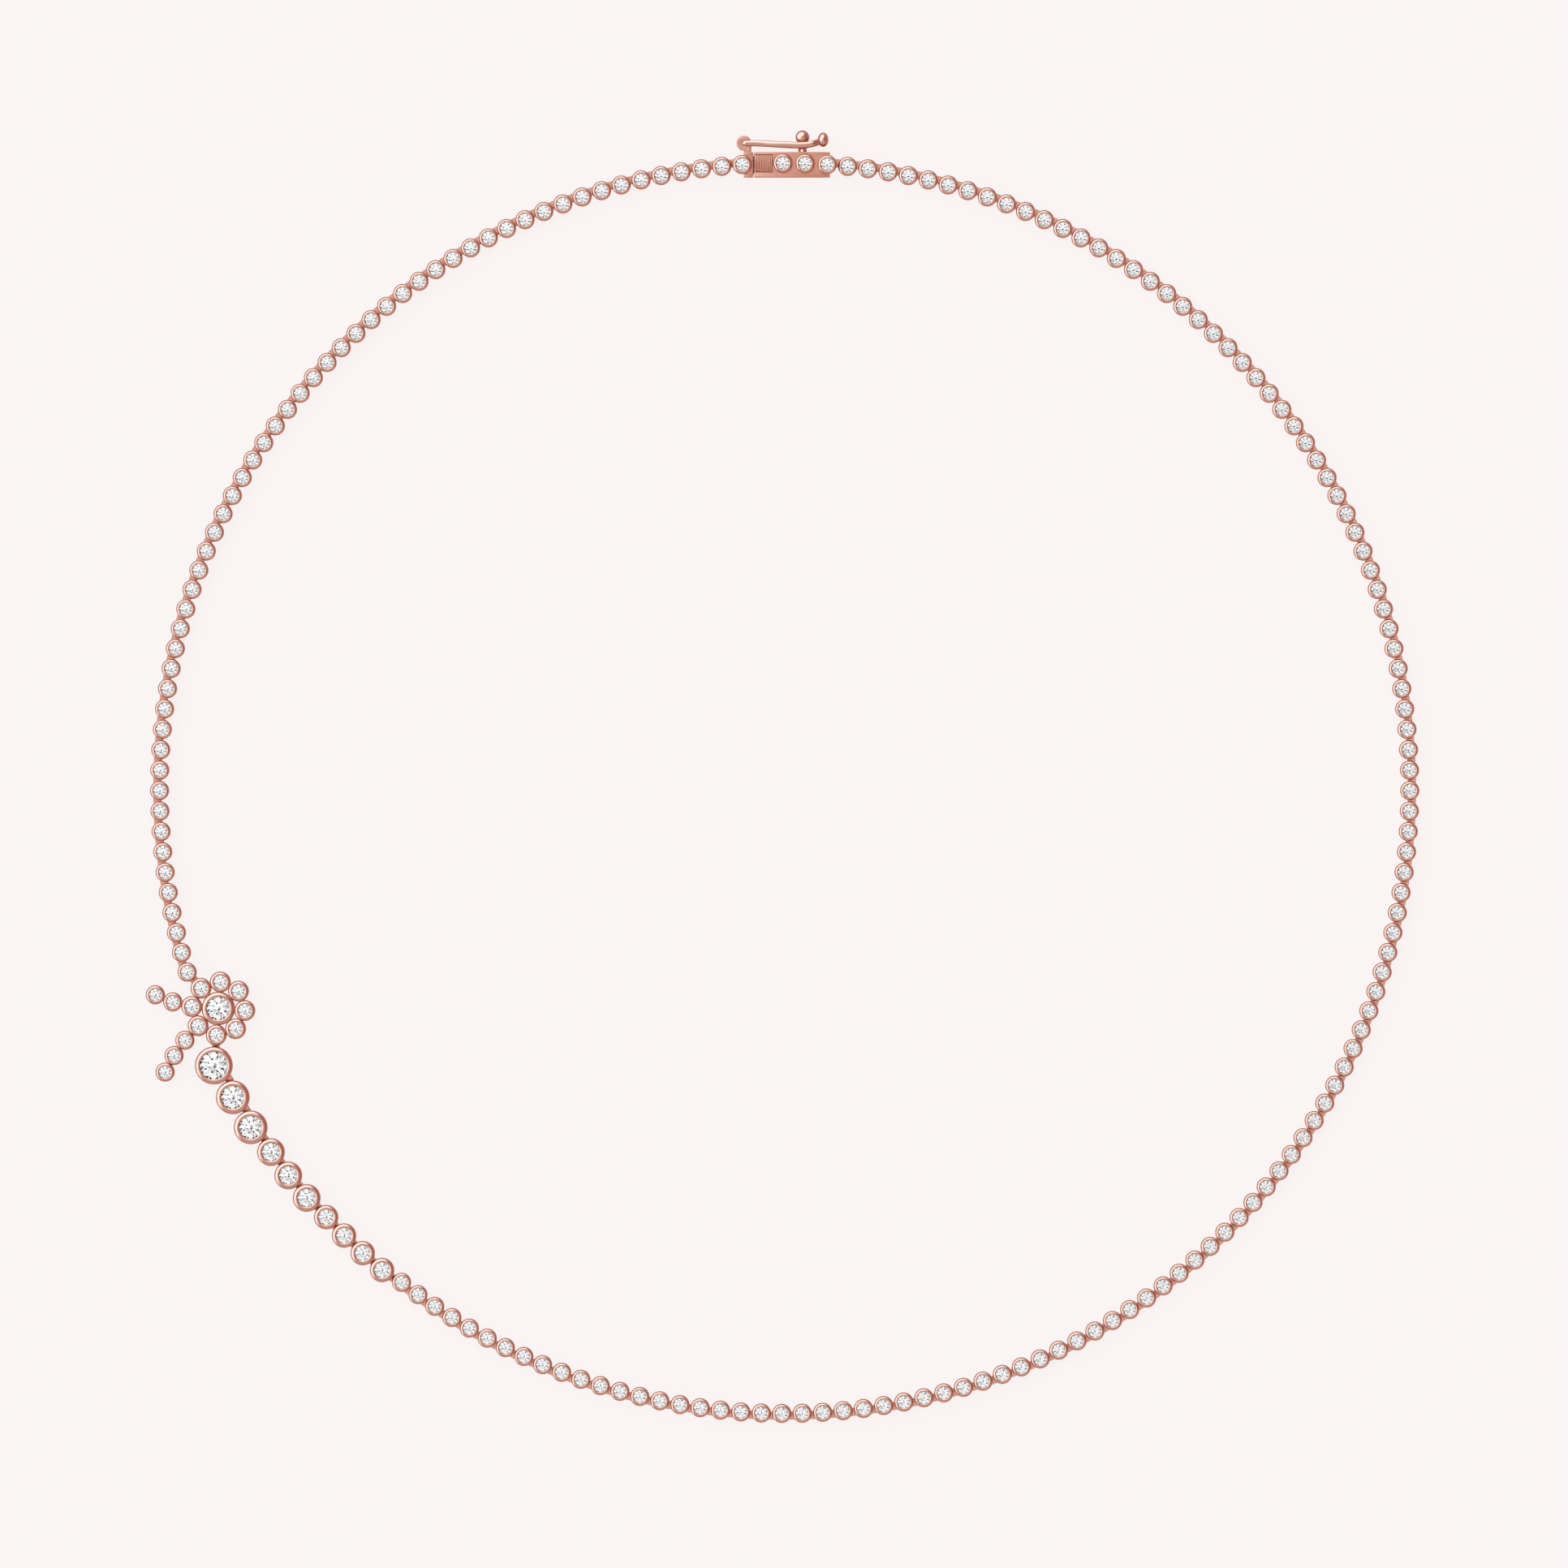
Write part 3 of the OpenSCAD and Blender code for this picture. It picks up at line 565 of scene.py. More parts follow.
def cheek(size, foot, reach, side, low, steps=1):
    """One of the fork's cheeks, which widens out from the foot."""
    end, corner, root = reach + size.reach, size.corner, foot * CHEEK_ROOT

    def edge_line(y):
        start = max(min(y, root), -root)
        full = reach * CHEEK_FULL
        return [Vector((full * t, start + (y - start) * smooth(t))) for t in CHEEK_STEPS]

    y_low, y_high = side - size.cheek_w / 2, side + size.cheek_w / 2
    outline = edge_line(y_low) + arc((end - corner, y_low + corner), corner, -90, 0, 3)
    outline += arc((end - corner, y_high - corner), corner, 0, 90, 3) + edge_line(y_high)[::-1]
    return plate([outline], low, low + size.cheek_t, size.edge, steps)


def fork_towards(size, foot, spot, steps=1, sides=16):
    """The two cheeks and the pin that hold the eye of the link before."""
    turn, reach, side = spot[0], spot[1], -spot[2]
    upper = size.fork_z + size.cheek_t + size.eye_t + 2 * size.play
    pin_low, pin_high = size.fork_z + size.cheek_t / 2, upper + size.cheek_t / 2
    pin = turned([(0, pin_low), (size.pin, pin_low), (size.pin, pin_high), (0, pin_high)], sides)
    parts = [cheek(size, foot, reach, side, low, steps) for low in (size.fork_z, upper)]
    parts.append(moved(pin, placed((reach, side))))
    return [moved(part, placed((0, 0), turn)) for part in parts]


class Loop:
    """Where every setting of the loop stands, worked out from the frame."""

    def __init__(self):
        hinge, setting = sizes("hinge"), sizes("setting")
        self.out = hinge.out
        self.clasp = [middle(f"clasp_stone_{k}") for k in range(1, 5)]
        self.ring = self.clasp[3].length
        self.graded = []
        for k in range(1, 11):
            stone = f"graduated_stone_{k}"
            high = top_of(f"graduated_link_{k}")
            rim = setting.rim + (high - setting.height) / setting.height_gain
            self.graded.append((middle(stone), rim, stone_width(stone), high))
        # Both small chains are spread evenly, up to where the last small link meets the first graduated one
        first, second = self.graded[0], self.graded[1]
        gap = (first[0] - second[0]).length - first[1] - second[1]
        reach = setting.rim + first[1] + gap
        far = first[0].length
        turn = math.acos((self.ring ** 2 + far ** 2 - reach ** 2) / (2 * self.ring * far))
        self.start = math.degrees(math.atan2(self.clasp[3].y, self.clasp[3].x))
        last = math.degrees(math.atan2(first[0].y, first[0].x)) + math.degrees(turn)
        self.step = (self.start - last) / hinge.right_links
        self.petals = [middle(f"petal_stone_{k}") for k in range(1, 9)]

    def right(self, k):
        return polar(self.ring, self.start - k * self.step)

    def left(self, k):
        return polar(self.ring, 180 - self.start + k * self.step)

    def hinge(self, p, rp, q, rq, centred=False):
        """Heading from p to q, and the pin's place along it and to its side."""
        way = (q - p).normalized()
        reach = rp + ((q - p).length - rp - rq) / 2
        side = 0 if centred else self.ring + self.out - (p + way * reach).length
        return heading(p, q), reach, side


def off_hinge(face):
    """Test for every face but the flat ones of the hinges, and the foot's underside."""
    size = sizes("hinge")
    top = size.fork_z + size.eye_t + 2 * (size.cheek_t + size.play)
    return face.center.z > top + size.edge or abs(face.normal.z) < FLAT


# Finishes

def node_of(tree, kind, **inputs):
    """A new shader node. Each input is named, or numbered as in _0, and is given a value or a socket."""
    node = tree.nodes.new(kind)
    for name, value in inputs.items():
        numbered = name[1:].isdigit()
        socket = node.inputs[int(name[1:]) if numbered else name.replace("_", " ").title()]
        if isinstance(value, bpy.types.NodeSocket):
            tree.links.new(value, socket)
        else:
            socket.default_value = value
    return node


def tone(level):
    """A colour for a socket, from a grey level or three channels."""
    return (*level, 1) if hasattr(level, "__len__") else (level, level, level, 1)


def ramp(tree, source, *stops):
    """A colour ramp over the source, with a place and a grey level or colour at each stop."""
    node = tree.nodes.new("ShaderNodeValToRGB")
    tree.links.new(source, node.inputs[0])
    band = node.color_ramp
    while len(band.elements) < len(stops):
        band.elements.new(0.5)
    for element, (at, level) in zip(band.elements, stops):
        element.position = at
        element.color = tone(level)
    return node.outputs[0]


def new_material(name):
    """The material of that name with its tree and shader, or with neither where it's made already."""
    material = bpy.data.materials.get(name)
    if material:
        return material, None, None
    material = bpy.data.materials.new(name)
    material.use_nodes = True
    tree = material.node_tree
    return material, tree, tree.nodes["Principled BSDF"]


def shaded(base, factor):
    return tuple(channel * factor for channel in base)


def finish_metal(tree, gold, tint, rough, height, strength):
    """Links the metal's colour and roughness, and its relief from the height."""
    gold.inputs["Metallic"].default_value = 1
    tree.links.new(tint, gold.inputs["Base Color"])
    tree.links.new(rough, gold.inputs["Roughness"])
    bump = node_of(tree, "ShaderNodeBump", height=height, strength=strength, distance=RELIEF)
    tree.links.new(bump.outputs[0], gold.inputs["Normal"])


def polished_gold():
    """Bright rose gold with faint polishing marks and a slight play of colour."""
    finish = sizes("finish")
    material, tree, gold = new_material("polished_rose_gold")
    if tree is None:
        return material
    place = tree.nodes.new("ShaderNodeTexCoord").outputs["Object"]
    cloud = node_of(tree, "ShaderNodeTexNoise", vector=place, scale=CLOUDS, detail=3)
    tint = ramp(tree, cloud.outputs[0], (0.3, shaded(finish.gold, CLOUD_SHADE)), (0.7, finish.gold))
    marks = node_of(tree, "ShaderNodeTexNoise", vector=place, scale=MARKS, detail=4)
    low, high = shaded(POLISH_SPREAD, finish.polish)
    rough = ramp(tree, marks.outputs[0], (0.3, low), (0.75, high))
    finish_metal(tree, gold, tint, rough, marks.outputs[0], finish.marks)
    return material


def grained_gold(name, base, roughness):
    """Rose gold with a fine, even grain."""
    material, tree, gold = new_material(name)
    if tree is None:
        return material
    place = tree.nodes.new("ShaderNodeTexCoord").outputs["Object"]
    stretch = node_of(tree, "ShaderNodeMapping", vector=place, scale=(1, 2.5, 1))
    grain = node_of(tree, "ShaderNodeTexNoise", vector=stretch.outputs[0], scale=GRAIN, detail=5)
    tint = ramp(tree, grain.outputs[0], (0.3, shaded(base, GRAIN_SHADE)), (0.72, base))
    low, high = shaded(GRAIN_SPREAD, roughness)
    rough = ramp(tree, grain.outputs[0], (0.3, low), (0.7, high))
    finish_metal(tree, gold, tint, rough, grain.outputs[0], sizes("finish").grain)
    return material


def satin_gold():
    """The finish of the press and of the clasp's flat faces."""
    finish = sizes("finish")
    return grained_gold("satin_rose_gold", finish.satin, finish.satin_roughness)


def brushed_gold_painted_light():
    """The finish of the hinges' flat faces, between the settings, in a lighter colour that is painted light
    against their shade between the rims.
    """
    finish = sizes("finish")
    return grained_gold("brushed_rose_gold_painted_light", finish.brushed_painted_light, finish.brushed_roughness)


def diamond():
    """Clear stone whose facets differ slightly in a painted tint. Some are darker and bluer by the way they
    face, standing in for fire and coloured reflections.
    """
    finish = sizes("finish")
    material, tree, stone = new_material("brilliant_cut")
    if tree is None:
        return material
    stone.inputs["Transmission Weight"].default_value = 1
    stone.inputs["IOR"].default_value = finish.stone_ior
    stone.inputs["Roughness"].default_value = 0
    stone.inputs["Specular Tint"].default_value = tone(finish.stone_shine)
    # Painted tint: cells of the facets' facing pick some facets to turn darker and bluer
    facet = tree.nodes.new("ShaderNodeNewGeometry").outputs["True Normal"]
    cells = node_of(tree, "ShaderNodeTexVoronoi", vector=facet, scale=FACETS)
    tint = ramp(tree, cells.outputs[0], (0.0, finish.stone_painted_tint), (0.5, finish.stone))
    tree.links.new(tint, stone.inputs["Base Color"])
    return material


def finish_links(name, solid, *nodes):
    """A piece with hinges, their flat faces brushed in a lighter colour that is painted light against their
    shade, and all the rest polished.
    """
    finish_piece(name, solid, [brushed_gold_painted_light(), polished_gold()], METAL, *nodes, polished=off_hinge)


# Operators, one for each piece or group of like pieces

class RIVIERE_OT_small_links(bpy.types.Operator):
    """Makes the small links on both sides of the clasp, with their stones"""

    bl_idname = "riviere.small_links"
    bl_label = "Small Links"
    bl_options = {"REGISTER", "UNDO"}

    def link(self, name, p, eye_to, fork_to):
        """One link at p, turned back so that p lies on the X axis."""
        setting, hinge = sizes("setting"), sizes("hinge")
        foot = setting.rim - setting.foot_in
        body = cup_body(setting, setting.rim, setting.stone, setting.height, setting.small_sides)
        room = stone_room(setting, setting.stone, setting.height, 0, setting.small_sides)
        parts = [body, eye_towards(hinge, foot, eye_to)] + fork_towards(hinge, foot, fork_to)
        return moved(fused(name, parts, [room]), placed((0, 0), -heading(Vector((0, 0)), p)))

    def execute(self, context):
        setting, hinge, loop = sizes("setting"), sizes("hinge"), Loop()
        rim, petal_rim = setting.rim, sizes("flower").petal
        graded, graded_rim = loop.graded[0][:2]

        def small(p, q, other=rim, centred=False):
            return loop.hinge(p, rim, q, other, centred)

        def chain(name, node, at, count, common, last):
            metal, stones = Form(), Form()
            girdle = girdle_z(setting, setting.height)
            for k in range(1, count + 1):
                p = at(k)
                metal.add(last if k == count else common, placed(p, heading(Vector((0, 0)), p)))
                stones.add(brilliant(setting.stone), placed(p, 0, girdle))
            finish_links(name, metal.solid(), node)
            finish_piece(name + "_stones", stones.solid(), [diamond()], STONE)

        at, n = loop.right, hinge.right_links
        common = self.link("right_link", at(1), small(at(1), at(2)), small(at(1), at(0)))
        last = self.link("right_end", at(n), small(at(n), graded, graded_rim), small(at(n), at(n - 1)))
        chain("right_links", "right_chain", at, n, common, last)

        at, n = loop.left, hinge.left_links
        common = self.link("left_link", at(1), small(at(1), at(0)), small(at(1), at(2)))
        to_petal = small(at(n), loop.petals[0], petal_rim, True)
        last = self.link("left_end", at(n), small(at(n), at(n - 1)), to_petal)
        chain("left_links", "left_chain", at, n, common, last)
        return {"FINISHED"}


class RIVIERE_OT_graduated_links(bpy.types.Operator):
    """Makes the ten graduated links"""

    bl_idname = "riviere.graduated_links"
    bl_label = "Graduated Links"
    bl_options = {"REGISTER", "UNDO"}

    def execute(self, context):
        setting, hinge, loop = sizes("setting"), sizes("hinge"), Loop()
        places = [(loop.right(hinge.right_links), setting.rim)] + [(g[0], g[1]) for g in loop.graded]
        joint_petal = loop.petals[sizes("flower").joint_petal]
        places.append((joint_petal, sizes("flower").petal))
        for i, (p, r, d, h) in enumerate(loop.graded):
            before, after = places[i], places[i + 2]
            foot = r - setting.foot_in
            fork_spot = loop.hinge(p, r, *before)
            eye_spot = loop.hinge(p, r, *after, i == len(loop.graded) - 1)
            parts = [cup_body(setting, r, d, h, setting.sides), eye_towards(hinge, foot, eye_spot, 2)]
            parts += fork_towards(hinge, foot, fork_spot, 2)
            room = stone_room(setting, d, h, bore_r(setting, r, d), setting.sides)
            link = moved(fused("link", parts, [room]), placed(p))
            finish_links(f"graduated_setting_{i + 1}", link, f"graduated_link_{i + 1}")
        return {"FINISHED"}


class RIVIERE_OT_flower(bpy.types.Operator):
    """Makes the flower's and the sprays' settings, soldered into one piece"""

    bl_idname = "riviere.flower"
    bl_label = "Flower And Sprays"
    bl_options = {"REGISTER", "UNDO"}

    # A drop of solder: its foot as a share of its radius, its taper, how deep its edge lies, and its dome
    FOOT, TAPER, SINK, DOME = 0.6, 0.08 * MM, 0.04 * MM, 0.06 * MM

    def drop(self, p, rp, q):
        """A drop of solder between the rims of two settings."""
        flower, setting = sizes("flower"), sizes("setting")
        r, top = flower.drop, top_of("flower_setting") - setting.rim_h
        low, edge = top - setting.skirt - r, top - self.SINK
        outline = [(0, low), (r * self.FOOT, low), (r, low + self.TAPER)]
        outline += [(r * math.cos(a), edge + self.DOME * math.sin(a)) for a in (0, 0.5, 1.0)]
        outline.append((0, edge + self.DOME))
        return moved(turned(outline, 20), placed(p + (q - p).normalized() * (rp - flower.solder / 2)))

    def execute(self, context):
        setting, hinge, flower, loop = sizes("setting"), sizes("hinge"), sizes("flower"), Loop()
        h = top_of("flower_setting")
        heart, petals = middle("heart_stone"), loop.petals
        sprays = [middle(f"spray_stone_{k}") for k in range(1, 6)]

        heart_r = (petals[0] - heart).length - flower.petal + flower.solder
        spots = [(heart, heart_r, stone_width("heart_stone"))]
        spots += [(p, flower.petal, stone_width("petal_stone_1")) for p in petals]
        spots += [(p, flower.spray, stone_width("spray_stone_1")) for p in sprays]
        bodies, rooms, drops = [], [], []
        for p, r, d in spots:
            room = stone_room(setting, d, h, bore_r(setting, r, d), setting.sides)
            bodies.append(moved(cup_body(setting, r, d, h, setting.sides), placed(p, FACE_TURN)))
            rooms.append(moved(room, placed(p, FACE_TURN)))
        for i, (p, rp, _) in enumerate(spots):
            for q, rq, _ in spots[i + 1:]:
                if abs((q - p).length - rp - rq + flower.solder) < TINY:
                    drops.append(self.drop(p, rp, q))
        before, after = loop.left(hinge.left_links), loop.graded[-1]
        foot = flower.petal - setting.foot_in
        joint = petals[flower.joint_petal]
        eye_spot = loop.hinge(petals[0], flower.petal, before, setting.rim, True)
        fork_spot = loop.hinge(joint, flower.petal, after[0], after[1], True)
        hinges = [moved(eye_towards(hinge, foot, eye_spot, 2), placed(petals[0]))]
        hinges += [moved(part, placed(joint)) for part in fork_towards(hinge, foot, fork_spot, 2)]
        finish_links("flower_settings", fused("flower", bodies + drops + hinges, rooms), "flower_setting")
        return {"FINISHED"}


def cut_block(low, high):
    """A plain block that is cut away."""
    x, y, z = zip(low, high)
    points = [(x[i], y[j], z[k]) for k in (0, 1) for i, j in ((0, 0), (1, 0), (1, 1), (0, 1))]
    faces = [[3, 2, 1, 0], [4, 5, 6, 7], [0, 1, 5, 4], [1, 2, 6, 5], [2, 3, 7, 6], [3, 0, 4, 7]]
    return points, faces


def ball(half_x, half_y, half_z, sides=40, rows=20):
    """A ball stretched to half its length, width and height."""
    turns = [math.pi * k / rows - math.pi / 2 for k in range(rows + 1)]
    outline = [(math.cos(a), math.sin(a)) for a in turns]
    outline[0], outline[-1] = (0, -1), (0, 1)
    return moved(turned(outline, sides), Matrix.Diagonal((half_x, half_y, half_z, 1)))


class Clasp:
    """The clasp's own measures, about its middle line."""

    # Softening of the tongue's and the leaf's edges, and how far off the end block its arms' faces start
    LEAF_EDGE, ARM_OFF = 0.03 * MM, 0.02 * MM
    # The fillet at the post's root: how far it stands out from the post, and from the box's side
    FILLET = ((0.09 * MM, -0.005 * MM), (0.03 * MM, 0.015 * MM), (0, 0.075 * MM))

    def __init__(self):
        self.size = size = sizes("clasp")
        self.latch = sizes("latch")
        self.stones = [middle(f"clasp_stone_{k}") for k in range(1, 5)]
        self.y = self.stones[0].y
        self.line = placed((0, self.y))
        self.stone_x = [p.x for p in self.stones]
        self.top = top_of("clasp_box")
        self.latch_z = size.height / 2 + self.latch.lift
        self.post_x = self.stone_x[2] - self.latch.post_shift
        self.room_w = size.width - 2 * size.wall
        self.tongue_w = self.room_w - 2 * size.gap
        self.room_left, self.room_right = -size.left + size.catch_l, -size.left + size.room_l
        self.room_top = size.floor + size.room_h
        self.tongue_z = size.floor + size.gap
        self.leaf_z = self.room_top - size.gap - size.leaf
        self.fold_r = (self.leaf_z + size.leaf - self.tongue_z) / 2
        self.fold_x = self.room_right - size.gap - self.fold_r
        self.press_left = -size.left + size.gap
        self.press_z = size.height - size.press_t

    def settings(self, indices):
        """Bodies and stone rooms of the settings on the clasp."""
        setting = sizes("setting")
        shape = setting.rim, setting.stone, self.top
        body = cup_body(setting, *shape, setting.sides)
        room = stone_room(setting, setting.stone, self.top, 0, setting.sides)
        spots = [placed(self.stones[i], FACE_TURN) for i in indices]
        return [moved(body, s) for s in spots], [moved(room, s) for s in spots]

    def on_setting(self, indices):
        """Test for the faces of the settings that stand above the clasp."""
        setting = sizes("setting")

        def test(face):
            at = face.center
            near = min((at.xy - self.stones[i]).length for i in indices) < setting.rim + TINY
            return near and at.z > self.size.height + TINY

        return test


class RIVIERE_OT_clasp(bpy.types.Operator):
    """Makes the clasp's box and its tongue"""

    bl_idname = "riviere.clasp"
    bl_label = "Clasp"
    bl_options = {"REGISTER", "UNDO"}

    def box(self, clasp, loop):
        size, latch, setting, hinge = clasp.size, clasp.latch, sizes("setting"), sizes("hinge")
        half_w = size.width / 2
        shell = block((-size.left, -half_w, 0), (size.right, half_w, size.height), size.edge)
        post_low, post_high = half_w - size.wall / 2, latch.knob_out
        stem = [(0, post_low), (latch.post + clasp.FILLET[0][0], post_low)]
        stem += [(latch.post + out, half_w + rise) for out, rise in clasp.FILLET]
        stem += [(latch.post, post_high), (0, post_high)]
        post = moved(turned(stem, 40), Matrix.Rotation(math.radians(-90), 4, "X"))
        knob = ball(latch.knob, latch.knob, latch.knob_half)
        bodies, rooms = clasp.settings([1, 2, 3])
        eye_spot = loop.hinge(clasp.stones[3], setting.rim, loop.right(1), setting.rim)
        end_eye = eye_towards(hinge, setting.rim, eye_spot, 2)
        parts = [moved(shell, clasp.line)] + bodies + [moved(end_eye, placed(clasp.stones[3]))]
        at_post = clasp.line @ Matrix.Translation((clasp.post_x, 0, clasp.latch_z))
        parts += [moved(post, at_post), moved(knob, at_post @ Matrix.Translation((0, latch.knob_out, 0)))]
        mouth_z = clasp.room_top - size.catch_h
        press_end = clasp.press_left + size.press_l + size.gap
        press_low = clasp.press_z - size.travel - size.gap
        half_room, off = clasp.room_w / 2, size.press_off
        half_stem, half_press = size.stem_w / 2 + size.gap, size.press_w / 2 + size.gap
        out, over = -size.left - MM, size.height + MM
        cuts = [
            ((clasp.room_left, -half_room, size.floor), (clasp.room_right, half_room, clasp.room_top)),
            ((out, -half_room, size.floor), (clasp.room_left + MM, half_room, mouth_z)),
            ((out, off - half_stem, mouth_z - size.catch_h), (press_end, off + half_stem, over)),
            ((out, off - half_press, press_low), (press_end, off + half_press, over)),
        ]
        cuts = [moved(cut_block(low, high), clasp.line) for low, high in cuts] + rooms
        on_setting = clasp.on_setting([1, 2, 3])
        finish_piece(
            "clasp_case", fused("case", parts, cuts), [satin_gold(), polished_gold()], METAL, "clasp_box",
            polished=lambda face: on_setting(face) or face.center.y > clasp.y + half_w + TINY,
        )

    def tongue(self, clasp, loop):
        size, latch, setting, hinge = clasp.size, clasp.latch, sizes("setting"), sizes("hinge")
        half_w = size.width / 2
        end_right = -size.left - size.gap
        end_left = end_right - size.end_l
        end = block((end_left, -half_w, 0), (end_right, half_w, size.height), size.edge)
        inner_r, fold_z = clasp.fold_r - size.leaf, clasp.tongue_z + clasp.fold_r
        strip = [Vector((end_right - size.end_l / 2, clasp.tongue_z))]
        strip += arc((clasp.fold_x, fold_z), clasp.fold_r, -90, 90, 14)
        strip += arc((clasp.fold_x, fold_z), inner_r, 90, -90, 14)
        strip.append(Vector((end_right - size.end_l / 2, clasp.tongue_z + size.leaf)))
        upright = Matrix.Rotation(math.radians(90), 4, "X")
        leaf = moved(plate([strip], -clasp.tongue_w / 2, clasp.tongue_w / 2, clasp.LEAF_EDGE, 2), upright)
        pivot = Vector((-latch.pivot_back, latch.pivot_out))
        meet = math.degrees(math.asin((end_left - pivot.x) / latch.ear))
        ear = [Vector((end_left, half_w - size.wall)), Vector((pivot.x + latch.ear, half_w - size.wall))]
        ear += arc(pivot, latch.ear, 0, 270 + meet, 40)
        hole = arc(pivot, latch.pivot + latch.play, 0, -350, 35)
        half_t = latch.ear_t / 2
        ear_plate = plate([ear, hole], clasp.latch_z - half_t, clasp.latch_z + half_t, size.edge)
        bodies, rooms = clasp.settings([0])
        fork_spot = loop.hinge(clasp.stones[0], setting.rim, loop.left(1), setting.rim)
        arms = fork_towards(hinge, setting.rim - setting.foot_in, fork_spot, 2)
        parts = [moved(part, clasp.line) for part in (end, leaf, ear_plate)] + bodies
        parts += [moved(part, placed(clasp.stones[0])) for part in arms]
        on_setting = clasp.on_setting([0])

        def polished(face):
            at = face.center
            arm = at.x < end_left - clasp.ARM_OFF and at.y < clasp.y + half_w
            return on_setting(face) or arm and off_hinge(face)

        finish_piece(
            "clasp_end", fused("end", parts, rooms), [satin_gold(), polished_gold()], METAL, "clasp_tongue",
            polished=polished,
        )

    def execute(self, context):
        clasp, loop = Clasp(), Loop()
        self.box(clasp, loop)
        self.tongue(clasp, loop)
        return {"FINISHED"}


class RIVIERE_OT_thumb_press(bpy.types.Operator):
    """Makes the ribbed press on its spring leaf"""

    bl_idname = "riviere.thumb_press"
    bl_label = "Thumb Press"
    bl_options = {"REGISTER", "UNDO"}

    # A rib's place and half width as shares of the ribs' pitch, how full its round is, and its edges
    RIB_AT, RIB_HALF, RIB_ROUND, RIB_EDGE = 0.75, 0.2875, 0.8, 0.02 * MM

    def execute(self, context):
        clasp = Clasp()
        size = clasp.size
        pitch = size.press_l / (size.ribs + 0.5)
        low, high, crest = clasp.press_z, size.height - size.rib_h, size.height + size.rib_h
        half_rib = pitch * self.RIB_HALF
        outline = [Vector((clasp.press_left, low)), Vector((clasp.press_left + size.press_l, low))]
        outline.append(Vector((clasp.press_left + size.press_l, high)))
        for k in reversed(range(size.ribs)):
            at = clasp.press_left + (k + self.RIB_AT) * pitch
            for turn in range(0, 181, 30):
                a = math.radians(turn)
                rise = (crest - high) * math.sin(a) ** self.RIB_ROUND
                outline.append(Vector((at + half_rib * math.cos(a), high + rise)))
        outline.append(Vector((clasp.press_left, high)))
        upright = Matrix.Translation((0, size.press_off, 0)) @ Matrix.Rotation(math.radians(90), 4, "X")
        half_w = size.press_w / 2
        ribbed = moved(plate([outline], -half_w, half_w, self.RIB_EDGE, 2), upright)
        left, right = clasp.room_left + size.gap, clasp.fold_x - size.gap
        half_t, half_stem, off = clasp.tongue_w / 2, size.stem_w / 2, size.press_off
        leaf_z, edge = clasp.leaf_z, clasp.LEAF_EDGE
        leaf = block((left, -half_t, leaf_z), (right, half_t, leaf_z + size.leaf), edge)
        stem_low = (left, off - half_stem, leaf_z + self.RIB_EDGE)
        stem = block(stem_low, (left + size.stem_w, off + half_stem, low + size.press_t / 2), edge)
        solid = fused("press", [moved(part, clasp.line) for part in (ribbed, leaf, stem)])
        finish_piece("ribbed_press", solid, [satin_gold()], METAL, "thumb_press", body="press")
        return {"FINISHED"}


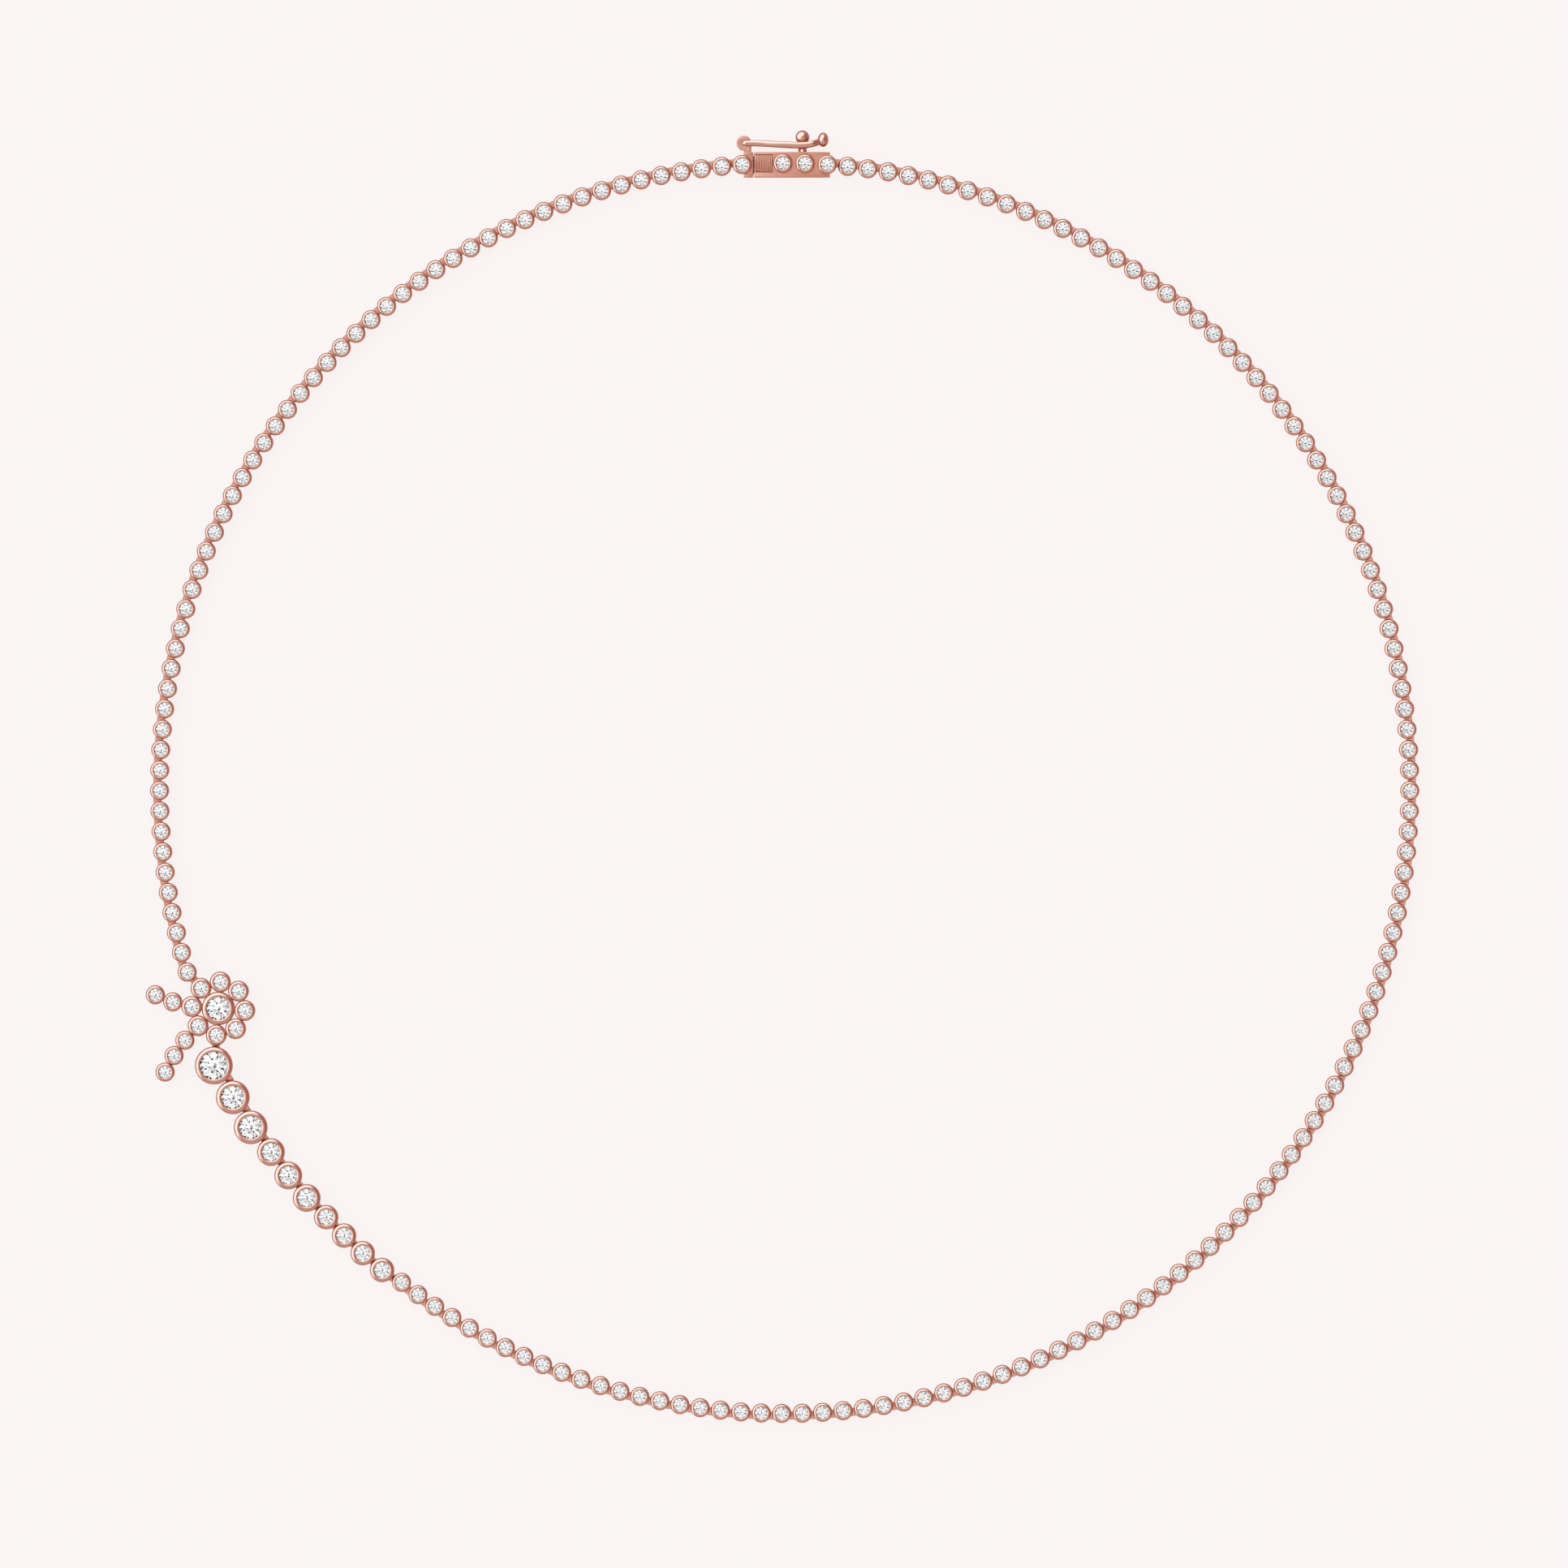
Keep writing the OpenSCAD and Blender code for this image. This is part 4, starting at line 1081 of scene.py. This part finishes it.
class RIVIERE_OT_safety_latch(bpy.types.Operator):
    """Makes the safety latch from one bent wire with a bead at its tip"""

    bl_idname = "riviere.safety_latch"
    bl_label = "Safety Latch"
    bl_options = {"REGISTER", "UNDO"}

    # Shares of the length at which the gap between the strands starts to grow, is full and starts to close
    GAP_STARTS, GAP_FULL, GAP_CLOSES = 0.12, 0.55, 0.86
    # Stations along a strand and round the bend, and the share of the length at which the strands end
    STRAND_STEPS, BEND_STEPS, TIP = 40, 8, 0.985
    # A strand's width where it leaves the bend, as a share of its growth, and how fast it grows
    START_WIDTH, WIDENS = 0.5, 4

    def line(self, size, s):
        """The wire's middle seen from above, at the share s of its length, and its heading."""
        rise = size.sag + size.rise
        y = -size.sag * s ** 2 + rise * s ** 6
        slope = (-2 * size.sag * s + 6 * rise * s ** 5) / size.reach
        return Vector((s * size.reach, y)), Vector((-slope, 1)).normalized()

    def gap(self, size, s):
        """Half the gap between the strands at the share s of the latch's length."""
        ear, loop = size.ear_t / 2 + size.play, size.knob_half + size.play

        def climb(low, high):
            return smooth(min(max((s - low) / (high - low), 0), 1))

        return ear + (loop - ear) * climb(self.GAP_STARTS, self.GAP_FULL) - loop * climb(self.GAP_CLOSES, 1)

    def strand(self, size):
        """Stations of the upper strand from pivot to tip: middle, side, half width and half depth."""
        centre_z = size.ear_t / 2 + size.play + size.depth / 2
        stations = []
        for k in range(self.BEND_STEPS):
            a = math.pi / 2 * k / self.BEND_STEPS
            t = k / self.BEND_STEPS
            x = size.bend * (1 - math.cos(a))
            z = centre_z - size.bend * (1 - math.sin(a))
            depth = size.pivot + (size.depth / 2 - size.pivot) * smooth(t)
            width = size.pivot + (size.width / 2 - size.pivot) * t * self.START_WIDTH
            stations.append((Vector((x, 0, z)), Vector((0, 1, 0)), width, depth))
        first = size.bend / size.reach
        for k in range(self.STRAND_STEPS + 1):
            t = k / self.STRAND_STEPS
            s = first + (self.TIP - first) * t
            at, side = self.line(size, s)
            grown = min(1, self.START_WIDTH + self.WIDENS * t)
            width = size.pivot + (size.width / 2 - size.pivot) * grown
            z = self.gap(size, s) + size.depth / 2
            stations.append((Vector((at.x, at.y, z)), side.to_3d(), width, size.depth / 2))
        return stations

    def wire(self, size, sides=20):
        """The whole wire, from the lower strand's tip round the pivot to the upper one's."""
        upper = self.strand(size)
        lower = [(Vector((p.x, p.y, -p.z)), side, w, d) for p, side, w, d in upper]
        stations = lower[::-1] + upper
        form = Form()
        for i, (at, side, width, depth) in enumerate(stations):
            before = stations[max(i - 1, 0)][0]
            after = stations[min(i + 1, len(stations) - 1)][0]
            deep = (after - before).normalized().cross(side).normalized()
            for k in range(sides):
                a = math.tau * k / sides
                form.points.append(at + side * width * math.cos(a) + deep * depth * math.sin(a))
        for row in range(len(stations) - 1):
            base = row * sides
            for k in range(sides):
                n = (k + 1) % sides
                form.faces.append([base + k, base + n, base + sides + n, base + sides + k])
        last = (len(stations) - 1) * sides
        form.faces.append(list(reversed(range(sides))))
        form.faces.append([last + k for k in range(sides)])
        return form.solid()

    def execute(self, context):
        clasp = Clasp()
        size = clasp.latch
        tip, _ = self.line(size, 1)
        bead = moved(ball(size.tip_x, size.tip_y, size.tip_z), Matrix.Translation(tip.to_3d()))
        half_head = size.ear_t / 2 - size.head_in
        head = [(0, -half_head), (size.head, -half_head), (size.head, half_head), (0, half_head)]
        solid = fused("latch", [self.wire(size), bead, turned(head, 32)])
        pivot = Matrix.Translation((-size.pivot_back, size.pivot_out, clasp.latch_z))
        solid = moved(solid, clasp.line @ pivot)
        finish_piece("latch_wire", solid, [polished_gold()], METAL, "safety_latch", body="latch")
        return {"FINISHED"}


class RIVIERE_OT_stones(bpy.types.Operator):
    """Gives the stones of the frame their finish"""

    bl_idname = "riviere.stones"
    bl_label = "Stones"
    bl_options = {"REGISTER", "UNDO"}

    def execute(self, context):
        for name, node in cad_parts.items():
            if "stone" in name:
                node.data.materials.clear()
                node.data.materials.append(diamond())
                node.data.shade_flat()
        return {"FINISHED"}


class RIVIERE_OT_studio(bpy.types.Operator):
    """Sets up the pale ground, the soft dome of light and the camera"""

    bl_idname = "riviere.studio"
    bl_label = "Studio"
    bl_options = {"REGISTER", "UNDO"}

    # Brightness of the two domes by the angle from straight up, in degrees
    METAL_DOME = ((0, 0.84), (40, 0.8), (70, 0.74), (84, 0.66), (90, 0.6))
    STONE_DOME = ((0, 1.15), (10, 1.2), (20, 1.05), (36, 1.2), (41, 1.1), (50, 1.0), (70, 0.9), (90, 0.4))
    # How much the brightness of the stones' dome varies from place to place, and how fine its patches are
    PATCHY, PATCHES = 0.4, 9
    # The ground: half its width in metres, its glow to the camera, and its share of plain shading
    GROUND_HALF, GLOW, MATTE = 20, 0.99, 0.05
    # What stands in each dome: angle from straight up, compass angle, outer and inner angle, brightness
    METAL_CARDS = (
        (58, 14, 49, 30, (0.54, 0.345, 0.32)),
        (49, 106, 37, 25, (1.7, 2.6, 3.0)),
        (49, 140, 37, 25, (1.7, 2.6, 3.0)),
        (49, 174, 37, 25, (1.7, 2.6, 3.0)),
        (80, 215, 18, 11, (1.7, 2.3, 2.6)),
    )
    STONE_CARDS = (
        (36, 90, 8, 6.5, 0),
        (36, 180, 8, 6.5, 0),
        (36, -135, 8, 6.5, 0),
        (36, -90, 8, 6.5, 0),
        (36, -45, 8, 6.5, 0),
        (12.4, -90, 3, 2, 0.35),
        (12.4, -135, 3, 2, 0.35),
        (45.8, 90, 5, 3.5, 0),
        (45.8, 135, 5, 3.5, 0),
        (41, 45, 4, 3, 0),
        (41, 135, 4, 3, 0.1),
        (41, -3, 3, 2, 0),
        (41, -92, 4, 3, 0.1),
        (23, -48, 3, 2, 0.3),
        (23, 130, 3, 2, 0.2),
        (23, 0, 3, 2, 0.4),
        (17, 180, 3, 2, 0.2),
        (17, 60, 3, 2, 0.3),
        (17, -20, 3, 2, 0.1),
    )

    def toward(self, tree, way, direction, outer, inner):
        """0 to 1 as a way comes closer to the direction, from the outer angle to the inner one."""
        dot = node_of(tree, "ShaderNodeVectorMath", _0=way, _1=direction)
        dot.operation = "DOT_PRODUCT"
        low, high = math.cos(math.radians(outer)), math.cos(math.radians(inner))
        return node_of(tree, "ShaderNodeMapRange", _0=dot.outputs["Value"], _1=low, _2=high).outputs[0]

    def light(self, tree, way, levels, cards, patchy):
        """The light of a dome with its cards, as a background.

        Patchy is how much its brightness varies from place to place."""
        height = self.toward(tree, way, (0, 0, 1), 90, 0)
        stops = [(math.cos(math.radians(angle)), level) for angle, level in reversed(levels)]
        level = ramp(tree, height, *stops)
        if patchy:
            cells = node_of(tree, "ShaderNodeTexVoronoi", vector=way, scale=self.PATCHES)
            shade = ramp(tree, cells.outputs["Color"], (0.1, 1 - patchy), (0.25, 0.85), (0.5, 1))
            level = node_of(tree, "ShaderNodeMixRGB", _0=1.0, _1=level, _2=shade)
            level.blend_type = "MULTIPLY"
            level = level.outputs[0]
        for zenith, compass, outer, inner, bright in cards:
            flat = polar(math.sin(math.radians(zenith)), compass)
            near = self.toward(tree, way, (flat.x, flat.y, math.cos(math.radians(zenith))), outer, inner)
            level = node_of(tree, "ShaderNodeMixRGB", _0=near, _1=level, _2=tone(bright)).outputs[0]
        return node_of(tree, "ShaderNodeBackground", color=level, strength=sizes("studio").sky).outputs[0]

    def dome(self, studio):
        """A pale dome with bright panels at the upper left for the metal, another for the stones."""
        world = bpy.data.worlds.new("studio_dome")
        bpy.context.scene.world = world
        world.use_nodes = True
        tree = world.node_tree
        tree.nodes.clear()
        way = tree.nodes.new("ShaderNodeTexCoord").outputs["Generated"]
        path = tree.nodes.new("ShaderNodeLightPath").outputs
        metal = self.light(tree, way, self.METAL_DOME, self.METAL_CARDS, 0)
        stone = self.light(tree, way, self.STONE_DOME, self.STONE_CARDS, self.PATCHY)
        plain = node_of(tree, "ShaderNodeBackground", color=(*studio.ground, 1), strength=1.0).outputs[0]
        through = path["Is Transmission Ray"]
        lit = node_of(tree, "ShaderNodeMixShader", _0=through, _1=metal, _2=stone).outputs[0]
        both = node_of(tree, "ShaderNodeMixShader", _0=path["Is Camera Ray"], _1=lit, _2=plain)
        tree.links.new(both.outputs[0], tree.nodes.new("ShaderNodeOutputWorld").inputs[0])

    def ground(self, studio):
        """A wide pale ground that glows to the camera and glows darker in the metal's reflections, as
        painted shade for the metal's edges.
        """
        half = self.GROUND_HALF
        solid = [(-half, -half, 0), (half, -half, 0), (half, half, 0), (-half, half, 0)], [[0, 1, 2, 3]]
        material, tree, matte = new_material("pale_ground")
        tree.nodes.remove(matte)
        colour = (*studio.ground, 1)
        seen = tree.nodes.new("ShaderNodeLightPath").outputs["Is Camera Ray"]
        glow = node_of(tree, "ShaderNodeEmission", color=colour, strength=self.GLOW)
        plain = node_of(tree, "ShaderNodeBsdfDiffuse", color=colour)
        pale = node_of(tree, "ShaderNodeMixShader", _0=self.MATTE, _1=glow.outputs[0], _2=plain.outputs[0])
        # Painted shade: the ground glows in a darker colour to every ray but the camera's, which darkens
        # the metal's edges
        painted_shade = node_of(tree, "ShaderNodeEmission", color=(*studio.reflected_shade, 1), strength=1.0)
        both = node_of(tree, "ShaderNodeMixShader", _0=seen, _1=painted_shade.outputs[0], _2=pale.outputs[0])
        tree.links.new(both.outputs[0], tree.nodes["Material Output"].inputs[0])
        new_object("pale_ground", solid, material)

    def camera(self, studio):
        """A camera straight above, far enough away that nothing leans."""
        camera = bpy.data.cameras.new("camera")
        camera.lens, camera.sensor_width = studio.lens, studio.sensor
        camera.clip_end = 100
        stand = bpy.data.objects.new("camera", camera)
        stand.location = (studio.aim_x, studio.aim_y, studio.frame_w * studio.lens / studio.sensor)
        bpy.context.scene.collection.objects.link(stand)
        bpy.context.scene.camera = stand

    def execute(self, context):
        studio = sizes("studio")
        self.dome(studio)
        self.ground(studio)
        self.camera(studio)
        bpy.context.scene.view_settings.view_transform = "Standard"
        return {"FINISHED"}


OPERATORS = (
    RIVIERE_OT_small_links,
    RIVIERE_OT_graduated_links,
    RIVIERE_OT_flower,
    RIVIERE_OT_clasp,
    RIVIERE_OT_thumb_press,
    RIVIERE_OT_safety_latch,
    RIVIERE_OT_stones,
    RIVIERE_OT_studio,
)


class RIVIERE_PT_panel(bpy.types.Panel):
    """Lists the necklace's pieces"""

    bl_idname = "RIVIERE_PT_panel"
    bl_label = "Riviere Necklace"
    bl_space_type = "VIEW_3D"
    bl_region_type = "UI"
    bl_category = "Riviere"

    def draw(self, context):
        for operator in OPERATORS:
            self.layout.operator(operator.bl_idname)


GROUPS = {
    "setting": RiviereSettingSizes,
    "hinge": RiviereHingeSizes,
    "flower": RiviereFlowerSizes,
    "clasp": RiviereClaspSizes,
    "latch": RiviereLatchSizes,
    "finish": RiviereFinish,
    "studio": RiviereStudio,
}


def register():
    for group in GROUPS.values():
        bpy.utils.register_class(group)
    for name, group in GROUPS.items():
        setattr(bpy.types.Scene, "riviere_" + name, PointerProperty(type=group))
    for operator in OPERATORS:
        bpy.utils.register_class(operator)
    bpy.utils.register_class(RIVIERE_PT_panel)


def unregister():
    bpy.utils.unregister_class(RIVIERE_PT_panel)
    for operator in reversed(OPERATORS):
        bpy.utils.unregister_class(operator)
    for name in GROUPS:
        delattr(bpy.types.Scene, "riviere_" + name)
    for group in GROUPS.values():
        bpy.utils.unregister_class(group)


def main():
    register()
    for operator in OPERATORS:
        family, name = operator.bl_idname.split(".")
        getattr(getattr(bpy.ops, family), name)()
    bpy.context.view_layer.update()


if __name__ == "__main__":
    main()
